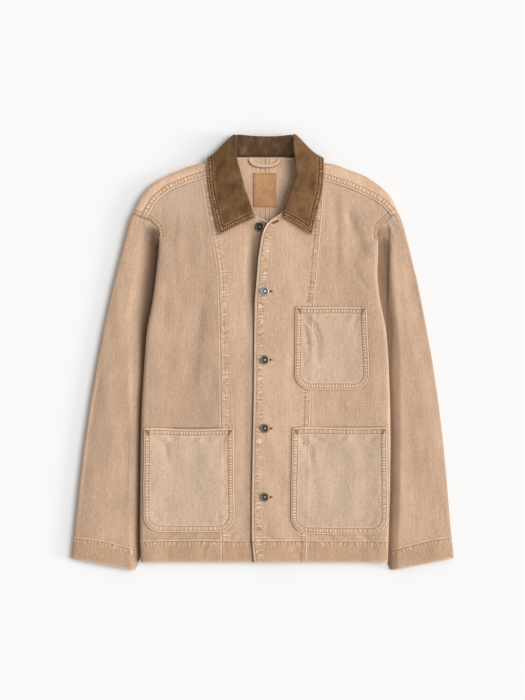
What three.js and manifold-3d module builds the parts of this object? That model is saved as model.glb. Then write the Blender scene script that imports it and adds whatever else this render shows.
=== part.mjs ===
// Denim barn jacket, laid out flat with its front up. Millimetres, +Z up, the hem towards -Y.
// Right and left are the wearer's: the wearer's right side is at -X. In the tables, "right" and
// "left" hold a distance outwards from X = 0, so both are positive on their own side.
import * as THREE from 'three';
import { mergeVertices } from 'three/addons/utils/BufferGeometryUtils.js';
import Module from 'manifold-3d';

const wasm = await Module();
wasm.setup();

// Driving dimensions
const DENIM = 1.2;             // wall of the denim
const CORDUROY = 1.4;          // wall of the top collar
const LINING = 1.0;            // wall of the under collar and the label
const SEAM_GAP = 0.3;          // between two pieces sewn edge to edge
const HEM_Y = -387;            // bottom edge of the body
const CENTRE_BACK = 4;         // X of the centre back seam
const FRONT_HEIGHT = 12.5;     // mid-height of the front over the surface
const FOLD_RISE = 1.5;         // added to it beside the side folds
const SHOULDER_RISE = 3;       // added to it at the shoulder
const LAP_LIFT = 2.4;          // the left front over the right one
const LAP_EDGE = 24;           // X of the right front's hidden edge
const NECK_LIFT = 4.4;           // the back lies on the turned-down collar here
const BACK_FOLD_HEIGHT = 9.2;  // mid-height of the back over its tucked side
const FRONT_TUCK_HEIGHT = 4.8; // mid-height of the front's strip turned under
const BACK_FOLD_RADIUS = 1.1;  // of the back's fold inside the front's
const FOLD_START = 192;        // below this height the sides are fully turned under
const FOLD_END = 216;          // above it they end at the armhole
const SLEEVE_FLAT = 2.8;       // mid-height of a sleeve's upper layer under the body
const SLEEVE_HEIGHT = 12;      // and where it lies free
const SHOULDER_POINT = { right: 75, left: 75 };  // where the shoulder meets the neck
const BUTTON_X = 3.9;
const BUTTON_RADIUS = 8.5;
const BUTTON_TOP_Y = 113.5;    // the highest fastened button
const BUTTON_STEP = 126.6;
const OPEN_BUTTON = { x: -5.5, y: 232.6 };

// The body's outer edge: the side fold, then the armhole seam from FOLD_END up.
const BODY_EDGE = [
  { y: -387, right: 225, left: 232 },
  { y: -346, right: 227, left: 233 },
  { y: -255, right: 226, left: 236 },
  { y: -161, right: 225, left: 237 },
  { y: -87, right: 223, left: 236 },
  { y: -10, right: 218, left: 233 },
  { y: 44, right: 214, left: 229 },
  { y: 99, right: 203, left: 217 },
  { y: 144, right: 197, left: 212 },
  { y: 181, right: 193, left: 214 },
  { y: 216, right: 191, left: 214 },
];

// The armhole seam above FOLD_END, from the fold to the shoulder tip.
const ARMHOLE = {
  right: [
    { out: 191, y: 216 }, { out: 193, y: 231 }, { out: 206, y: 244 },
    { out: 219, y: 249.5 }, { out: 240, y: 258 },
  ],
  left: [
    { out: 214, y: 216 }, { out: 217, y: 236 }, { out: 229, y: 246 },
    { out: 239, y: 255 }, { out: 250, y: 262 },
  ],
};

// How far the side is turned under, from the fold to the side seam or the armhole.
const TUCK = [
  { y: -387, depth: 58 },
  { y: 10, depth: 62 },
  { y: 120, depth: 28 },
  { y: 192, depth: 3 },
  { y: 216, depth: 0 },
];

// The seam between the centre front and the side front.
const PANEL_SEAM = [
  { y: -387, right: 75, left: 81 },
  { y: -137, right: 77, left: 87 },
  { y: 24, right: 78.5, left: 91 },
  { y: 87, right: 80, left: 94.5 },
  { y: 151, right: 82, left: 101 },
  { y: 192, right: 88, left: 104 },
  { y: 233, right: 97, left: 108 },
  { y: 273, right: 103, left: 111 },
  { y: 330, right: 112, left: 114 },
];

// The front edge and neckline of each centre front, as X.
const FRONT_EDGE = {
  left: [
    { y: -390, x: -15 }, { y: -346, x: -19.5 }, { y: -272, x: -19.5 }, { y: -180, x: -18 },
    { y: -87, x: -16 }, { y: 31, x: -15 }, { y: 98, x: -14 }, { y: 129, x: -11 },
    { y: 172, x: -8 }, { y: 207, x: -3 }, { y: 218, x: -1 }, { y: 231, x: 4 },
    { y: 242, x: 11 }, { y: 247, x: 18 }, { y: 258, x: 36 }, { y: 290, x: 58 },
    { y: 335, x: 75 },
  ],
  right: [
    { y: -387, x: LAP_EDGE }, { y: 207, x: LAP_EDGE }, { y: 231, x: 21 }, { y: 242, x: 10 },
    { y: 247, x: 2 }, { y: 251, x: -14 }, { y: 262, x: -27 }, { y: 290, x: -50 },
    { y: 335, x: -75 },
  ],
};

// The forward shoulder seam and the shoulder's folded top edge, as heights at a distance out.
const SHOULDER_SEAM = {
  right: [
    { out: 75, y: 335 }, { out: 103, y: 325 }, { out: 134, y: 315 }, { out: 171, y: 300 },
    { out: 193, y: 283 }, { out: 205, y: 266 }, { out: 214, y: 248 },
  ],
  left: [
    { out: 75, y: 335 }, { out: 113, y: 319 }, { out: 153, y: 307 }, { out: 186, y: 293 },
    { out: 209, y: 281 }, { out: 225, y: 270 }, { out: 237, y: 254 },
  ],
};
const SHOULDER_TOP = {
  right: [
    { out: 75, y: 353 }, { out: 95, y: 350 }, { out: 112, y: 351 }, { out: 134, y: 345.5 },
    { out: 153, y: 338 }, { out: 171, y: 331 }, { out: 186, y: 323 }, { out: 201, y: 316 },
    { out: 217, y: 301 }, { out: 230, y: 283 }, { out: 240, y: 258 },
  ],
  left: [
    { out: 75, y: 353 }, { out: 95, y: 350 }, { out: 123, y: 351 }, { out: 143, y: 345.5 },
    { out: 160, y: 338 }, { out: 182, y: 331 }, { out: 197, y: 323 }, { out: 217, y: 308.5 },
    { out: 234, y: 294 }, { out: 244, y: 278 }, { out: 250, y: 262 },
  ],
};
const BACK_NECK_Y = 362;

// The sleeve's outer and inner edges from the shoulder tip and the underarm to the cuff.
const SLEEVE_OUTER = [
  { y: -380, right: 354, left: 354 },
  { y: -309, right: 347, left: 347 },
  { y: -235, right: 339.5, left: 341 },
  { y: -161, right: 330, left: 334 },
  { y: -87, right: 319, left: 325 },
  { y: -13, right: 306, left: 314 },
  { y: 61, right: 291.5, left: 300.5 },
  { y: 135, right: 275, left: 286 },
  { y: 172, right: 265.5, left: 276.5 },
  { y: 209, right: 256, left: 267.5 },
  { y: 246, right: 247, left: 258 },
  { y: 262, right: 240, left: 250 },
];
const SLEEVE_INNER = [
  { y: -404, right: 238, left: 240 },
  { y: -372, right: 226, left: 228 },
  { y: -300, right: 212, left: 218 },
  { y: -161, right: 185, left: 193 },
  { y: 10, right: 152, left: 169 },
];
const CUFF_Y = { outer: -380, inner: -402 };

// Sections of the collar from its front end to the centre back: the neck seam, the roll line, the
// middle of the fall and its outer edge. "turn" is how the roll lies: 90 with the fall on top,
// 0 with the stand upright, -90 with the fall underneath.
const COLLAR = {
  right: [
    { neck: [17, 253, 16.6], roll: [14, 250, 20], mid: [48, 234, 21], edge: [79, 218, 19.8], turn: 90 },
    { neck: [29, 266, 16.6], roll: [20, 266, 21], mid: [54, 256, 22], edge: [86, 245, 19.8], turn: 90 },
    { neck: [50, 291, 16.6], roll: [33, 303, 23], mid: [66, 300, 23], edge: [98, 297, 19.8], turn: 85 },
    { neck: [64, 313, 17.5], roll: [41, 332, 25], mid: [72, 331, 23.5], edge: [101, 329, 19.8], turn: 75 },
    { neck: [71, 337, 16.6], roll: [47, 353, 26], mid: [76, 354, 23], edge: [102, 347, 19.6], turn: 50 },
    { neck: [72, 349, 15], roll: [50, 370, 26], mid: [78, 370, 20], edge: [102, 360, 13], turn: 30 },
    { neck: [71, 359, 11], roll: [51, 384, 24], mid: [73, 385, 13], edge: [94, 356, 2.4], turn: 10 },
    { neck: [63, 363, 7.5], roll: [50, 396, 20], mid: [59, 400, 8], edge: [76, 343, 0.9], turn: -20 },
    { neck: [44, 363.5, 6], roll: [40, 402, 17], mid: [46, 393, 1.6], edge: [52, 334, 0.8], turn: -60 },
    { neck: [20, 363.5, 5.6], roll: [18, 400, 16], mid: [18, 389, 1.2], edge: [20, 330, 0.8], turn: -75 },
  ],
  left: [
    { neck: [37, 258, 18.6], roll: [38, 252, 22], mid: [66, 236, 22.4], edge: [91, 218, 20.4], turn: 90 },
    { neck: [44, 267, 18.5], roll: [41, 266, 22.5], mid: [71, 256, 23], edge: [97, 245, 20], turn: 90 },
    { neck: [60, 291, 17.8], roll: [52, 296, 24], mid: [82, 297, 23.5], edge: [110, 297, 19.8], turn: 85 },
    { neck: [70, 313, 17.6], roll: [62, 326, 25.5], mid: [88, 329, 23.5], edge: [113, 329, 19.8], turn: 75 },
    { neck: [73.4, 337, 17.4], roll: [62, 350, 26], mid: [88, 353, 23], edge: [113, 347, 19.6], turn: 50 },
    { neck: [74, 349, 15], roll: [59, 370, 26], mid: [85, 371, 20], edge: [112, 360, 13], turn: 30 },
    { neck: [73, 359, 11], roll: [58, 384, 24], mid: [79, 385, 13], edge: [101, 356, 2.4], turn: 10 },
    { neck: [68, 363, 7.5], roll: [57, 396, 20], mid: [66, 400, 8], edge: [84, 343, 0.9], turn: -20 },
    { neck: [51, 363.5, 6], roll: [47, 402, 17], mid: [53, 393, 1.6], edge: [60, 334, 0.8], turn: -60 },
    { neck: [28, 363.5, 5.6], roll: [26, 400, 16], mid: [26, 389, 1.2], edge: [28, 330, 0.8], turn: -75 },
  ],
};
const COLLAR_BACK = { neck: [4, 363.5, 5.6], roll: [4, 399.5, 16], mid: [4, 388, 1.2],
  edge: [4, 330, 0.8], turn: -75 };
const NECK_CENTRE = { x: 4, y: 300 };
const ROLL_RADIUS = 2.2;
const COLLAR_SECTIONS = 24;

// The largest soft troughs pressed into the front, from one end to the other.
const TROUGHS = [
  { side: 'right', fromOut: 106, fromY: 160, toOut: 138, toY: -110, width: 17, depth: 2.4 },
  { side: 'right', fromOut: 172, fromY: 150, toOut: 186, toY: 10, width: 15, depth: 1.6 },
  { side: 'left', fromOut: 150, fromY: 275, toOut: 196, toY: 165, width: 15, depth: 2.2 },
];

// Patch pockets: the X of their sides at the mouth and at the bottom, and their heights.
const POCKETS = [
  { name: 'pocket_chest', mouth: [62, 192.5], base: [59, 197], top: 84.5, bottom: -68, radius: 30 },
  { name: 'pocket_lower_left', mouth: [55.5, 230], base: [52.5, 231], top: -138, bottom: -335,
    radius: 32 },
  { name: 'pocket_lower_right', mouth: [-219, -53.5], base: [-220, -51.5], top: -138.5,
    bottom: -331, radius: 32 },
];

// Materials
const paint = (color, roughness, metalness = 0) =>
  new THREE.MeshStandardMaterial({ color, roughness, metalness });
const denim = paint(0xc9ab8c, 0.95);
const corduroy = paint(0x6f5238, 0.9);
const leatherette = paint(0xc49668, 0.6);
const metal = paint(0x6d665c, 0.4, 0.9);

// Small tools
const lerp = THREE.MathUtils.lerp;
const smooth = (from, to, at) => {
  const t = THREE.MathUtils.clamp((at - from) / (to - from), 0, 1);
  return t * t * (3 - 2 * t);
};
const steps = (count) => Array.from({ length: count + 1 }, (_, k) => k / count);

/** The column's value in a table of rows sorted by the key, read with straight lines between. */
function read(table, key, column, at) {
  if (at <= table[0][key]) return table[0][column];
  for (let k = 1; k < table.length; k += 1) {
    if (at <= table[k][key]) {
      const t = (at - table[k - 1][key]) / (table[k][key] - table[k - 1][key]);
      return lerp(table[k - 1][column], table[k][column], t);
    }
  }
  return table[table.length - 1][column];
}

/** A closed wall round rows of mid-surface points. `cloth(i, j)` says which cells it has, and a
    ring closes each row on itself. */
function wall(rows, thickness, { cloth = () => true, ring = false } = {}) {
  const height = rows.length;
  const width = rows[0].length;
  const spans = ring ? width : width - 1;
  const at = (i, j) => rows[i][ring ? (j + width) % width : j];
  const index = (i, j) => 2 * (i * width + (ring ? (j + width) % width : j));
  const positions = [];
  for (let i = 0; i < height; i += 1) {
    for (let j = 0; j < width; j += 1) {
      const [j0, j1] = ring ? [j - 1, j + 1] : [Math.max(j - 1, 0), Math.min(j + 1, width - 1)];
      const across = at(i, j1).clone().sub(at(i, j0));
      const along = at(Math.min(i + 1, height - 1), j).clone().sub(at(Math.max(i - 1, 0), j));
      const normal = across.cross(along).normalize().multiplyScalar(thickness / 2);
      positions.push(...at(i, j).clone().add(normal), ...at(i, j).clone().sub(normal));
    }
  }
  const faces = [];
  const quad = (a, b, c, d) => faces.push(a, b, c, a, c, d);
  const has = (i, j) => i >= 0 && i < height - 1 && (ring || (j >= 0 && j < spans))
    && cloth(i, ring ? (j + width) % width : j);
  for (let i = 0; i < height - 1; i += 1) {
    for (let j = 0; j < spans; j += 1) {
      if (has(i, j)) {
        const corners = [index(i, j), index(i, j + 1), index(i + 1, j + 1), index(i + 1, j)];
        const [a, b, c, d] = corners;
        quad(a, b, c, d);
        quad(a + 1, d + 1, c + 1, b + 1);
        if (!has(i - 1, j)) quad(a, a + 1, b + 1, b);
        if (!has(i, j + 1)) quad(b, b + 1, c + 1, c);
        if (!has(i + 1, j)) quad(c, c + 1, d + 1, d);
        if (!has(i, j - 1)) quad(d, d + 1, a + 1, a);
      }
    }
  }
  return closed(positions, faces);
}

/** A geometry of these triangles, without the points that none of them uses. */
function closed(positions, faces) {
  const loose = new THREE.BufferGeometry();
  loose.setAttribute('position', new THREE.Float32BufferAttribute(positions, 3));
  loose.setIndex(faces);
  return mergeVertices(loose.toNonIndexed());
}

function toSolid(geometry) {
  const bare = geometry.clone();
  bare.deleteAttribute('normal');
  bare.deleteAttribute('uv');
  const merged = mergeVertices(bare);
  return new wasm.Manifold(new wasm.Mesh({
    numProp: 3,
    vertProperties: new Float32Array(merged.attributes.position.array),
    triVerts: new Uint32Array(merged.index.array),
  }));
}

function fromSolid(solid) {
  const mesh = solid.getMesh();
  return closed([...mesh.vertProperties], [...mesh.triVerts]);
}

const jacket = new THREE.Group();

function place(name, geometry, material) {
  geometry.computeVertexNormals();
  const mesh = new THREE.Mesh(geometry, material);
  mesh.name = name;
  jacket.add(mesh);
}

// Heights of the cloth
const sign = (side) => (side === 'right' ? -1 : 1);
const bodyEdge = (side, y) => read(BODY_EDGE, 'y', side, y);
const tuckDepth = (y) => read(TUCK, 'y', 'depth', y);
const turned = (y) => 1 - smooth(FOLD_START, FOLD_END, y);

/** How deep the troughs are at a place: full along their middle, fading at the ends. */
function troughDepth(side, out, y) {
  return TROUGHS.filter((trough) => trough.side === side).reduce((sum, trough) => {
    const { fromOut, fromY, toOut, toY, width, depth } = trough;
    const along = { out: toOut - fromOut, y: toY - fromY };
    const length = Math.hypot(along.out, along.y);
    const t = ((out - fromOut) * along.out + (y - fromY) * along.y) / length ** 2;
    const aside = ((out - fromOut) * along.y - (y - fromY) * along.out) / length;
    const ends = smooth(-0.2, 0.3, t) * (1 - smooth(0.7, 1.2, t));
    return sum + depth * ends * Math.exp(-((aside / width) ** 2));
  }, 0);
}

/** Mid-height of the front panels, without the lap. */
function frontHeight(side, out, y) {
  const nearFold = smooth(bodyEdge(side, y) - 60, bodyEdge(side, y) - 12, out) * turned(y);
  const flat = FRONT_HEIGHT + FOLD_RISE * nearFold + SHOULDER_RISE * smooth(180, 320, y);
  return flat - troughDepth(side, out, y);
}

/** Mid-height of the front that shows at X, with the left front lifted over the right. */
function lappedHeight(side, out, y) {
  const lift = side === 'left' ? LAP_LIFT * (1 - smooth(26, 50, out)) : 0;
  return frontHeight(side, Math.max(out, 0), y) + lift;
}

/** Mid-height of the back: flat, but over its own tucked side and over the turned-down collar. */
function backHeight(side, out, y) {
  const tuckEnd = bodyEdge(side, y) - tuckDepth(y);
  const overTuck = smooth(tuckEnd - 45, tuckEnd - 5, out) * turned(y);
  const overCollar = smooth(285, 318, y) * (1 - smooth(92, 125, out));
  return DENIM / 2 + (BACK_FOLD_HEIGHT - DENIM / 2) * overTuck + NECK_LIFT * overCollar;
}

/** The points of a side turned under: an arc from `from` outwards and down, then a flat strip. */
function turnUnder(from, height, angle, radius, strip, drop = 0) {
  const arcSteps = steps(4).slice(1);
  const stripSteps = steps(2).slice(1);
  const arc = arcSteps.map((t) => ({
    out: from + radius * Math.sin(angle * t),
    z: height - radius * (1 - Math.cos(angle * t)),
  }));
  const end = arc[arc.length - 1];
  return [...arc, ...stripSteps.map((t) => ({
    out: end.out + strip * t * Math.cos(angle),
    z: end.z - strip * t * Math.sin(angle) - drop * t,
  }))];
}

const LEAST_TURN = 0.12;       // an angle that keeps the turned-under cells open at the armhole
const LEAST_STRIP = 0.6;

/** Where a side starts to turn under, and the points beyond it. */
function sideTurn(side, y, height, radius, inset, drop) {
  const angle = Math.max(Math.PI * turned(y), LEAST_TURN);
  const reach = radius * Math.sin(Math.min(angle, Math.PI / 2));
  const open = Math.max(Math.cos(angle), 0) * LEAST_STRIP;
  const from = bodyEdge(side, y) - DENIM / 2 - inset * turned(y) - reach - open;
  const end = from + radius * Math.sin(angle);
  const strip = Math.max(end - (bodyEdge(side, y) - tuckDepth(y)), LEAST_STRIP);
  return { from, points: turnUnder(from, height, angle, radius, strip, drop * turned(y)) };
}

const FLAT_ROWS = [-387, -340, -272, -180, -87, -10, 44, 99, 144, 181];
const TURN_ROWS = [192, 200, 208, 216];
const NECK_ROWS = [218, 231, 242, 247, 258, 273, 290, 312];

/** A point on a patch between an inner path, an outer path and a top path that joins them. */
function patch(inner, outer, top, topStart, topEnd, u, t) {
  const mix = (key) => lerp(inner[key], outer[key], u)
    + t * (top[key] - lerp(topStart[key], topEnd[key], u));
  return { out: mix('out'), y: mix('y') };
}

const shoulderSeamAt = (side, out) => ({ out, y: read(SHOULDER_SEAM[side], 'out', 'y', out) });
const shoulderTopAt = (side, out) => ({ out, y: read(SHOULDER_TOP[side], 'out', 'y', out) });

/** The outer path of a body piece from FOLD_END up to the given end. */
function armholePath(side, end, count) {
  const path = ARMHOLE[side].slice(0, count);
  return [...path, end].slice(1).map(({ out, y }) => ({ out: out - SEAM_GAP / 2, y: y + SEAM_GAP / 2 }));
}

/** Side front: panel seam to armhole or side fold, turned under down to the side seam. */
function sideFront(side) {
  const seamAt = (y) => read(PANEL_SEAM, 'y', side, y) + SEAM_GAP / 2;
  const point = (out, y, z) => new THREE.Vector3(sign(side) * out, y, z);
  const ends = SHOULDER_SEAM[side];
  const corner = ends[ends.length - 1];
  const seamTop = shoulderSeamAt(side, seamAt(330));
  const across = [0, ...ends.slice(2).map(({ out }) => (out - seamTop.out) / (corner.out - seamTop.out))];
  const rows = [...FLAT_ROWS, ...TURN_ROWS].map((y) => {
    const height = frontHeight(side, bodyEdge(side, y) - 12, y);
    const radius = (height - FRONT_TUCK_HEIGHT) / 2;
    const turn = sideTurn(side, y, height, radius, 0, 0);
    const face = across.map((u) => lerp(seamAt(y), turn.from, u))
      .map((out) => point(out, y, frontHeight(side, out, y)));
    return [...face, ...turn.points.map(({ out, z }) => point(out, y, z))];
  });
  const outerEnd = { out: bodyEdge(side, FOLD_END) - DENIM, y: FOLD_END };
  const outerPath = [outerEnd, ...armholePath(side, corner, 3)];
  const shares = NECK_ROWS.map((y) => (y - FOLD_END) / (seamTop.y - FOLD_END));
  const upper = [...new Set([...shares, 1 / 3, 2 / 3, 1])].filter((t) => t > 0).sort((a, b) => a - b);
  upper.forEach((t) => {
    const y = lerp(FOLD_END, seamTop.y, t);
    const k = Math.min(Math.floor(t * 3), 2);
    const outer = {
      out: lerp(outerPath[k].out, outerPath[k + 1].out, t * 3 - k),
      y: lerp(outerPath[k].y, outerPath[k + 1].y, t * 3 - k),
    };
    const last = NECK_ROWS[NECK_ROWS.length - 1];
    const inner = { y, out: y <= last ? seamAt(y)
      : lerp(seamAt(last), seamTop.out, (y - last) / (seamTop.y - last)) };
    const face = across.map((u) => {
      const top = shoulderSeamAt(side, lerp(seamTop.out, corner.out, u));
      const at = patch(inner, outer, top, seamTop, corner, u, t);
      const inset = (t * SEAM_GAP) / 2;
      return point(at.out - inset * u, at.y - inset, frontHeight(side, at.out, at.y));
    });
    const end = face[face.length - 1];
    const spare = rows[0].length - face.length;
    rows.push([...face, ...steps(spare).slice(1).map((s) => end.clone().setX(end.x + sign(side) * s))]);
  });
  const turnEnd = FLAT_ROWS.length + TURN_ROWS.length - 1;
  return wall(flip(side, rows), DENIM,
    { cloth: (i, j) => i < turnEnd || inFace(side, j, across.length - 1, rows[0].length - 1) });
}

/** Rows run towards +X on both sides, so that the walls face the same way. */
const flip = (side, rows) => (side === 'right' ? rows.map((row) => [...row].reverse()) : rows);
const inFace = (side, j, faceCells, cells) => (side === 'right' ? j >= cells - faceCells : j < faceCells);

/** Centre front: front edge and neckline to the panel seam. */
function centreFront(side) {
  const edge = FRONT_EDGE[side];
  const heights = [-387, -340, -272, -180, -87, -10, 44, 98, 129, 151, 172, 192, 207, ...NECK_ROWS];
  const seamAt = (y) => read(PANEL_SEAM, 'y', side, y) - SEAM_GAP / 2;
  const shoulder = [SHOULDER_POINT[side], seamAt(330)];
  const rowAt = (y, lift) => steps(6).map((u) => {
    const inner = sign(side) * read(edge, 'y', 'x', y);
    const out = lerp(inner, lift ? shoulder[1] : seamAt(y), u);
    const top = lift ? shoulderSeamAt(side, lerp(shoulder[0], shoulder[1], u)).y - SEAM_GAP / 2 : y;
    return new THREE.Vector3(sign(side) * out, top, lappedHeight(side, out, top));
  });
  const rows = [...heights.map((y) => rowAt(y, false)), rowAt(334.8, true)];
  return wall(flip(side, rows), DENIM);
}

/** Back half: centre back seam to armhole or side fold, over the shoulder to the forward seam. */
function back(side) {
  const neckCells = 2;
  const seams = SHOULDER_SEAM[side];
  const seamEnd = seams[seams.length - 1];
  const shoulderCells = seams.length - 1;
  const shoulderShares = seams.map(({ out }) => (out - seams[0].out) / (seamEnd.out - seams[0].out));
  const cells = neckCells + shoulderCells;
  const seam = sign(side) * CENTRE_BACK + SEAM_GAP / 2;
  const tops = SHOULDER_TOP[side];
  const tip = tops[tops.length - 1];
  const neckPoint = SHOULDER_POINT[side];
  const neckShare = (neckPoint - seam) / (tip.out - seam);
  const across = [...steps(neckCells).map((u) => u * neckShare),
    ...shoulderShares.slice(1).map((u) => lerp(neckShare, 1, u))];
  const point = (out, y, z) => new THREE.Vector3(sign(side) * out, y, z);
  const columns = across.map((u, k) => {
    if (k < neckCells) {
      const end = { out: lerp(seam, neckPoint, k / neckCells), y: BACK_NECK_Y - SEAM_GAP };
      return { start: end, u };
    }
    const share = shoulderShares[k - neckCells];
    const top = shoulderTopAt(side, lerp(neckPoint, tip.out, share));
    const end = shoulderSeamAt(side, lerp(neckPoint, seamEnd.out, share));
    const reach = Math.hypot(top.out - end.out, top.y - end.y);
    const way = { out: (top.out - end.out) / reach, y: (top.y - end.y) / reach };
    const low = backHeight(side, top.out, top.y);
    const high = frontHeight(side, top.out, top.y);
    const radius = (high - low) / 2;
    const inset = radius + DENIM / 2;
    const start = { out: top.out - way.out * inset, y: top.y - way.y * inset };
    return { start, end, way, low, radius, u };
  });

  const rows = [...FLAT_ROWS, ...TURN_ROWS].map((y) => {
    const height = lerp(DENIM / 2 + 0.1, BACK_FOLD_HEIGHT, turned(y));
    const inset = DENIM + 3.4;
    const turn = sideTurn(side, y, height, BACK_FOLD_RADIUS, inset, 0.7);
    const face = across.map((u) => lerp(seam, turn.from, u))
      .map((out) => point(out, y, backHeight(side, out, y)));
    return [...face, ...turn.points.map(({ out, z }) => point(out, y, z))];
  });
  const pad = (face) => {
    const last = face[face.length - 1];
    const spare = rows[0].length - face.length;
    return [...face, ...steps(spare).slice(1).map((s) => last.clone().setX(last.x + sign(side) * s))];
  };
  const first = columns[0].start;
  const last = columns[columns.length - 1].start;
  const outerPath = armholePath(side, last, 4);
  outerPath.forEach((outer, k) => {
    const t = (k + 1) / outerPath.length;
    const inner = { out: seam, y: lerp(FOLD_END, first.y, t) };
    rows.push(pad(columns.map(({ start, u }) => {
      const at = patch(inner, outer, start, first, last, u, t);
      return point(at.out, at.y, backHeight(side, at.out, at.y));
    })));
  });
  steps(4).slice(1).forEach((t) => {
    const angle = Math.PI * t;
    rows.push(pad(columns.map(({ start, way, low, radius }) => {
      if (!way) return point(start.out, start.y + t, backHeight(side, start.out, start.y));
      const reach = radius * Math.sin(angle);
      return point(start.out + way.out * reach, start.y + way.y * reach,
        low + radius * (1 - Math.cos(angle)));
    })));
  });
  steps(2).slice(1).forEach((t) => {
    rows.push(pad(columns.map(({ start, end, way }) => {
      if (!way) return point(start.out, start.y + 1 + t, backHeight(side, start.out, start.y));
      const gap = SEAM_GAP / 2;
      const at = { out: lerp(start.out, end.out + gap, t), y: lerp(start.y, end.y + gap, t) };
      return point(at.out, at.y, frontHeight(side, at.out, at.y));
    })));
  });
  const turnEnd = FLAT_ROWS.length + TURN_ROWS.length - 1;
  const wrapStart = turnEnd + outerPath.length;
  const total = rows[0].length - 1;
  const column = (j) => (side === 'right' ? total - 1 - j : j);
  return wall(flip(side, rows), DENIM, {
    cloth: (i, j) => (column(j) < cells || i < turnEnd) && (column(j) >= neckCells || i < wrapStart),
  });
}

/** Sleeve: one flattened tube from the armhole to the cuff, pressed flat under the body. */
function sleeve(side) {
  const stations = steps(11);
  const mouthPlan = [
    ...[...ARMHOLE[side]].reverse(),
    { out: bodyEdge(side, 200) + 0.6, y: 200 },
    { out: bodyEdge(side, 190) - 3, y: 184 },
    { out: bodyEdge(side, 120) - tuckDepth(120), y: 120 },
    { out: bodyEdge(side, 10) - tuckDepth(10), y: 10 },
  ].map(({ out, y }) => ({ out: out + 0.65, y: y - 0.65 }));
  const count = mouthPlan.length;
  const shares = mouthPlan.map((_, k) => k / (count - 1));
  const point = (at, z) => new THREE.Vector3(sign(side) * at.out, at.y, z);
  const mouth = { outer: mouthPlan[0], inner: mouthPlan[count - 1] };
  const rows = stations.map((s) => {
    const outerY = lerp(mouth.outer.y, CUFF_Y.outer, s);
    const innerY = lerp(mouth.inner.y, CUFF_Y.inner, s);
    const outer = { out: s === 0 ? mouth.outer.out : read(SLEEVE_OUTER, 'y', side, outerY), y: outerY };
    const inner = { out: s === 0 ? mouth.inner.out : read(SLEEVE_INNER, 'y', side, innerY), y: innerY };
    const length = Math.hypot(outer.out - inner.out, outer.y - inner.y);
    const way = { out: (outer.out - inner.out) / length, y: (outer.y - inner.y) / length };
    const bump = (1 - s) ** 4;
    const plan = shares.map((q, k) => ({
      out: lerp(outer.out, inner.out, q)
        + bump * (mouthPlan[k].out - lerp(mouth.outer.out, mouth.inner.out, q)),
      y: lerp(outer.y, inner.y, q)
        + bump * (mouthPlan[k].y - lerp(mouth.outer.y, mouth.inner.y, q)),
    }));
    const upper = (at, q) => {
      const free = smooth(5, 34, at.out - bodyEdge(side, at.y));
      const atMouth = frontHeight(side, at.out, at.y);
      const rest = lerp(SLEEVE_FLAT, SLEEVE_HEIGHT, free);
      const dive = lerp(atMouth, rest, turned(at.y));
      return lerp(dive, rest, smooth(0, 0.25, s)) - 2 * (1 - smooth(0, 0.25, q)) * smooth(0, 0.2, s);
    };
    const outerHigh = upper(outer, 0);
    const outerRadius = (outerHigh - DENIM / 2) / 2;
    const innerRadius = (SLEEVE_FLAT - DENIM / 2) / 2;
    const arcCentre = {
      out: outer.out - way.out * (outerRadius + DENIM / 2),
      y: outer.y - way.y * (outerRadius + DENIM / 2),
    };
    const shifted = plan.map((at, k) => (k === 0 ? arcCentre : at));
    const innerAt = shifted[count - 1];
    const low = [...shifted].reverse().map((at) => point(at, DENIM / 2));
    const outerArc = steps(4).slice(1, -1).map((t) => point({
      out: arcCentre.out + way.out * outerRadius * Math.sin(Math.PI * t),
      y: arcCentre.y + way.y * outerRadius * Math.sin(Math.PI * t),
    }, DENIM / 2 + outerRadius * (1 - Math.cos(Math.PI * t))));
    const high = shifted.map((at, k) => point(at, upper(at, shares[k])));
    high[count - 1].z = SLEEVE_FLAT;
    const innerArc = point({ out: innerAt.out - way.out * innerRadius, y: innerAt.y - way.y * innerRadius },
      (SLEEVE_FLAT + DENIM / 2) / 2);
    return [...low, ...outerArc, ...high, innerArc];
  });
  const ordered = side === 'right' ? rows : rows.map((row) => [...row].reverse());
  return wall(ordered, DENIM, { ring: true });
}

// The collar
const toVector = (side, [out, y, z]) => new THREE.Vector3(sign(side) * out, y, z);

/** One section of the collar: neck seam, up the stand, round the roll, down the fall. */
function collarSection(side, { neck, roll, mid, edge, turn }) {
  const [from, top, middle, outer] = [neck, roll, mid, edge].map((p) => toVector(side, p));
  const outward = new THREE.Vector3(from.x - NECK_CENTRE.x, from.y - NECK_CENTRE.y, 0).normalize();
  const angle = THREE.MathUtils.degToRad(turn);
  const crest = new THREE.Vector3(0, 0, Math.cos(angle)).addScaledVector(outward, -Math.sin(angle));
  const over = new THREE.Vector3(0, 0, Math.sin(angle)).addScaledVector(outward, Math.cos(angle));
  const rollPoint = (turnBy) => top.clone()
    .addScaledVector(crest, ROLL_RADIUS * (Math.cos(turnBy) - 1))
    .addScaledVector(over, ROLL_RADIUS * Math.sin(turnBy));
  const rollPoints = [-Math.PI / 2, -Math.PI / 4, 0, Math.PI / 4, Math.PI / 2].map(rollPoint);
  const fall = new THREE.CatmullRomCurve3([rollPoints[4], middle, outer]).getPoints(6).slice(1);
  return [from, from.clone().lerp(rollPoints[0], 0.5), ...rollPoints, ...fall];
}

function collarRows() {
  const mirrored = (side) => COLLAR[side].map((section) => collarSection(side, section));
  const given = [...mirrored('right'), collarSection('left', COLLAR_BACK), ...mirrored('left').reverse()];
  const width = given[0].length;
  const columns = steps(width - 1).map((_, j) => new THREE.CatmullRomCurve3(given.map((row) => row[j])));
  const lowest = CORDUROY / 2;
  return steps(COLLAR_SECTIONS).map((t) => columns.map((column) => {
    const at = column.getPoint(t);
    return at.setZ(Math.max(at.z, lowest));
  }));
}

const FALL_START = 7;          // the under collar starts this many points from the neck seam

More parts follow.
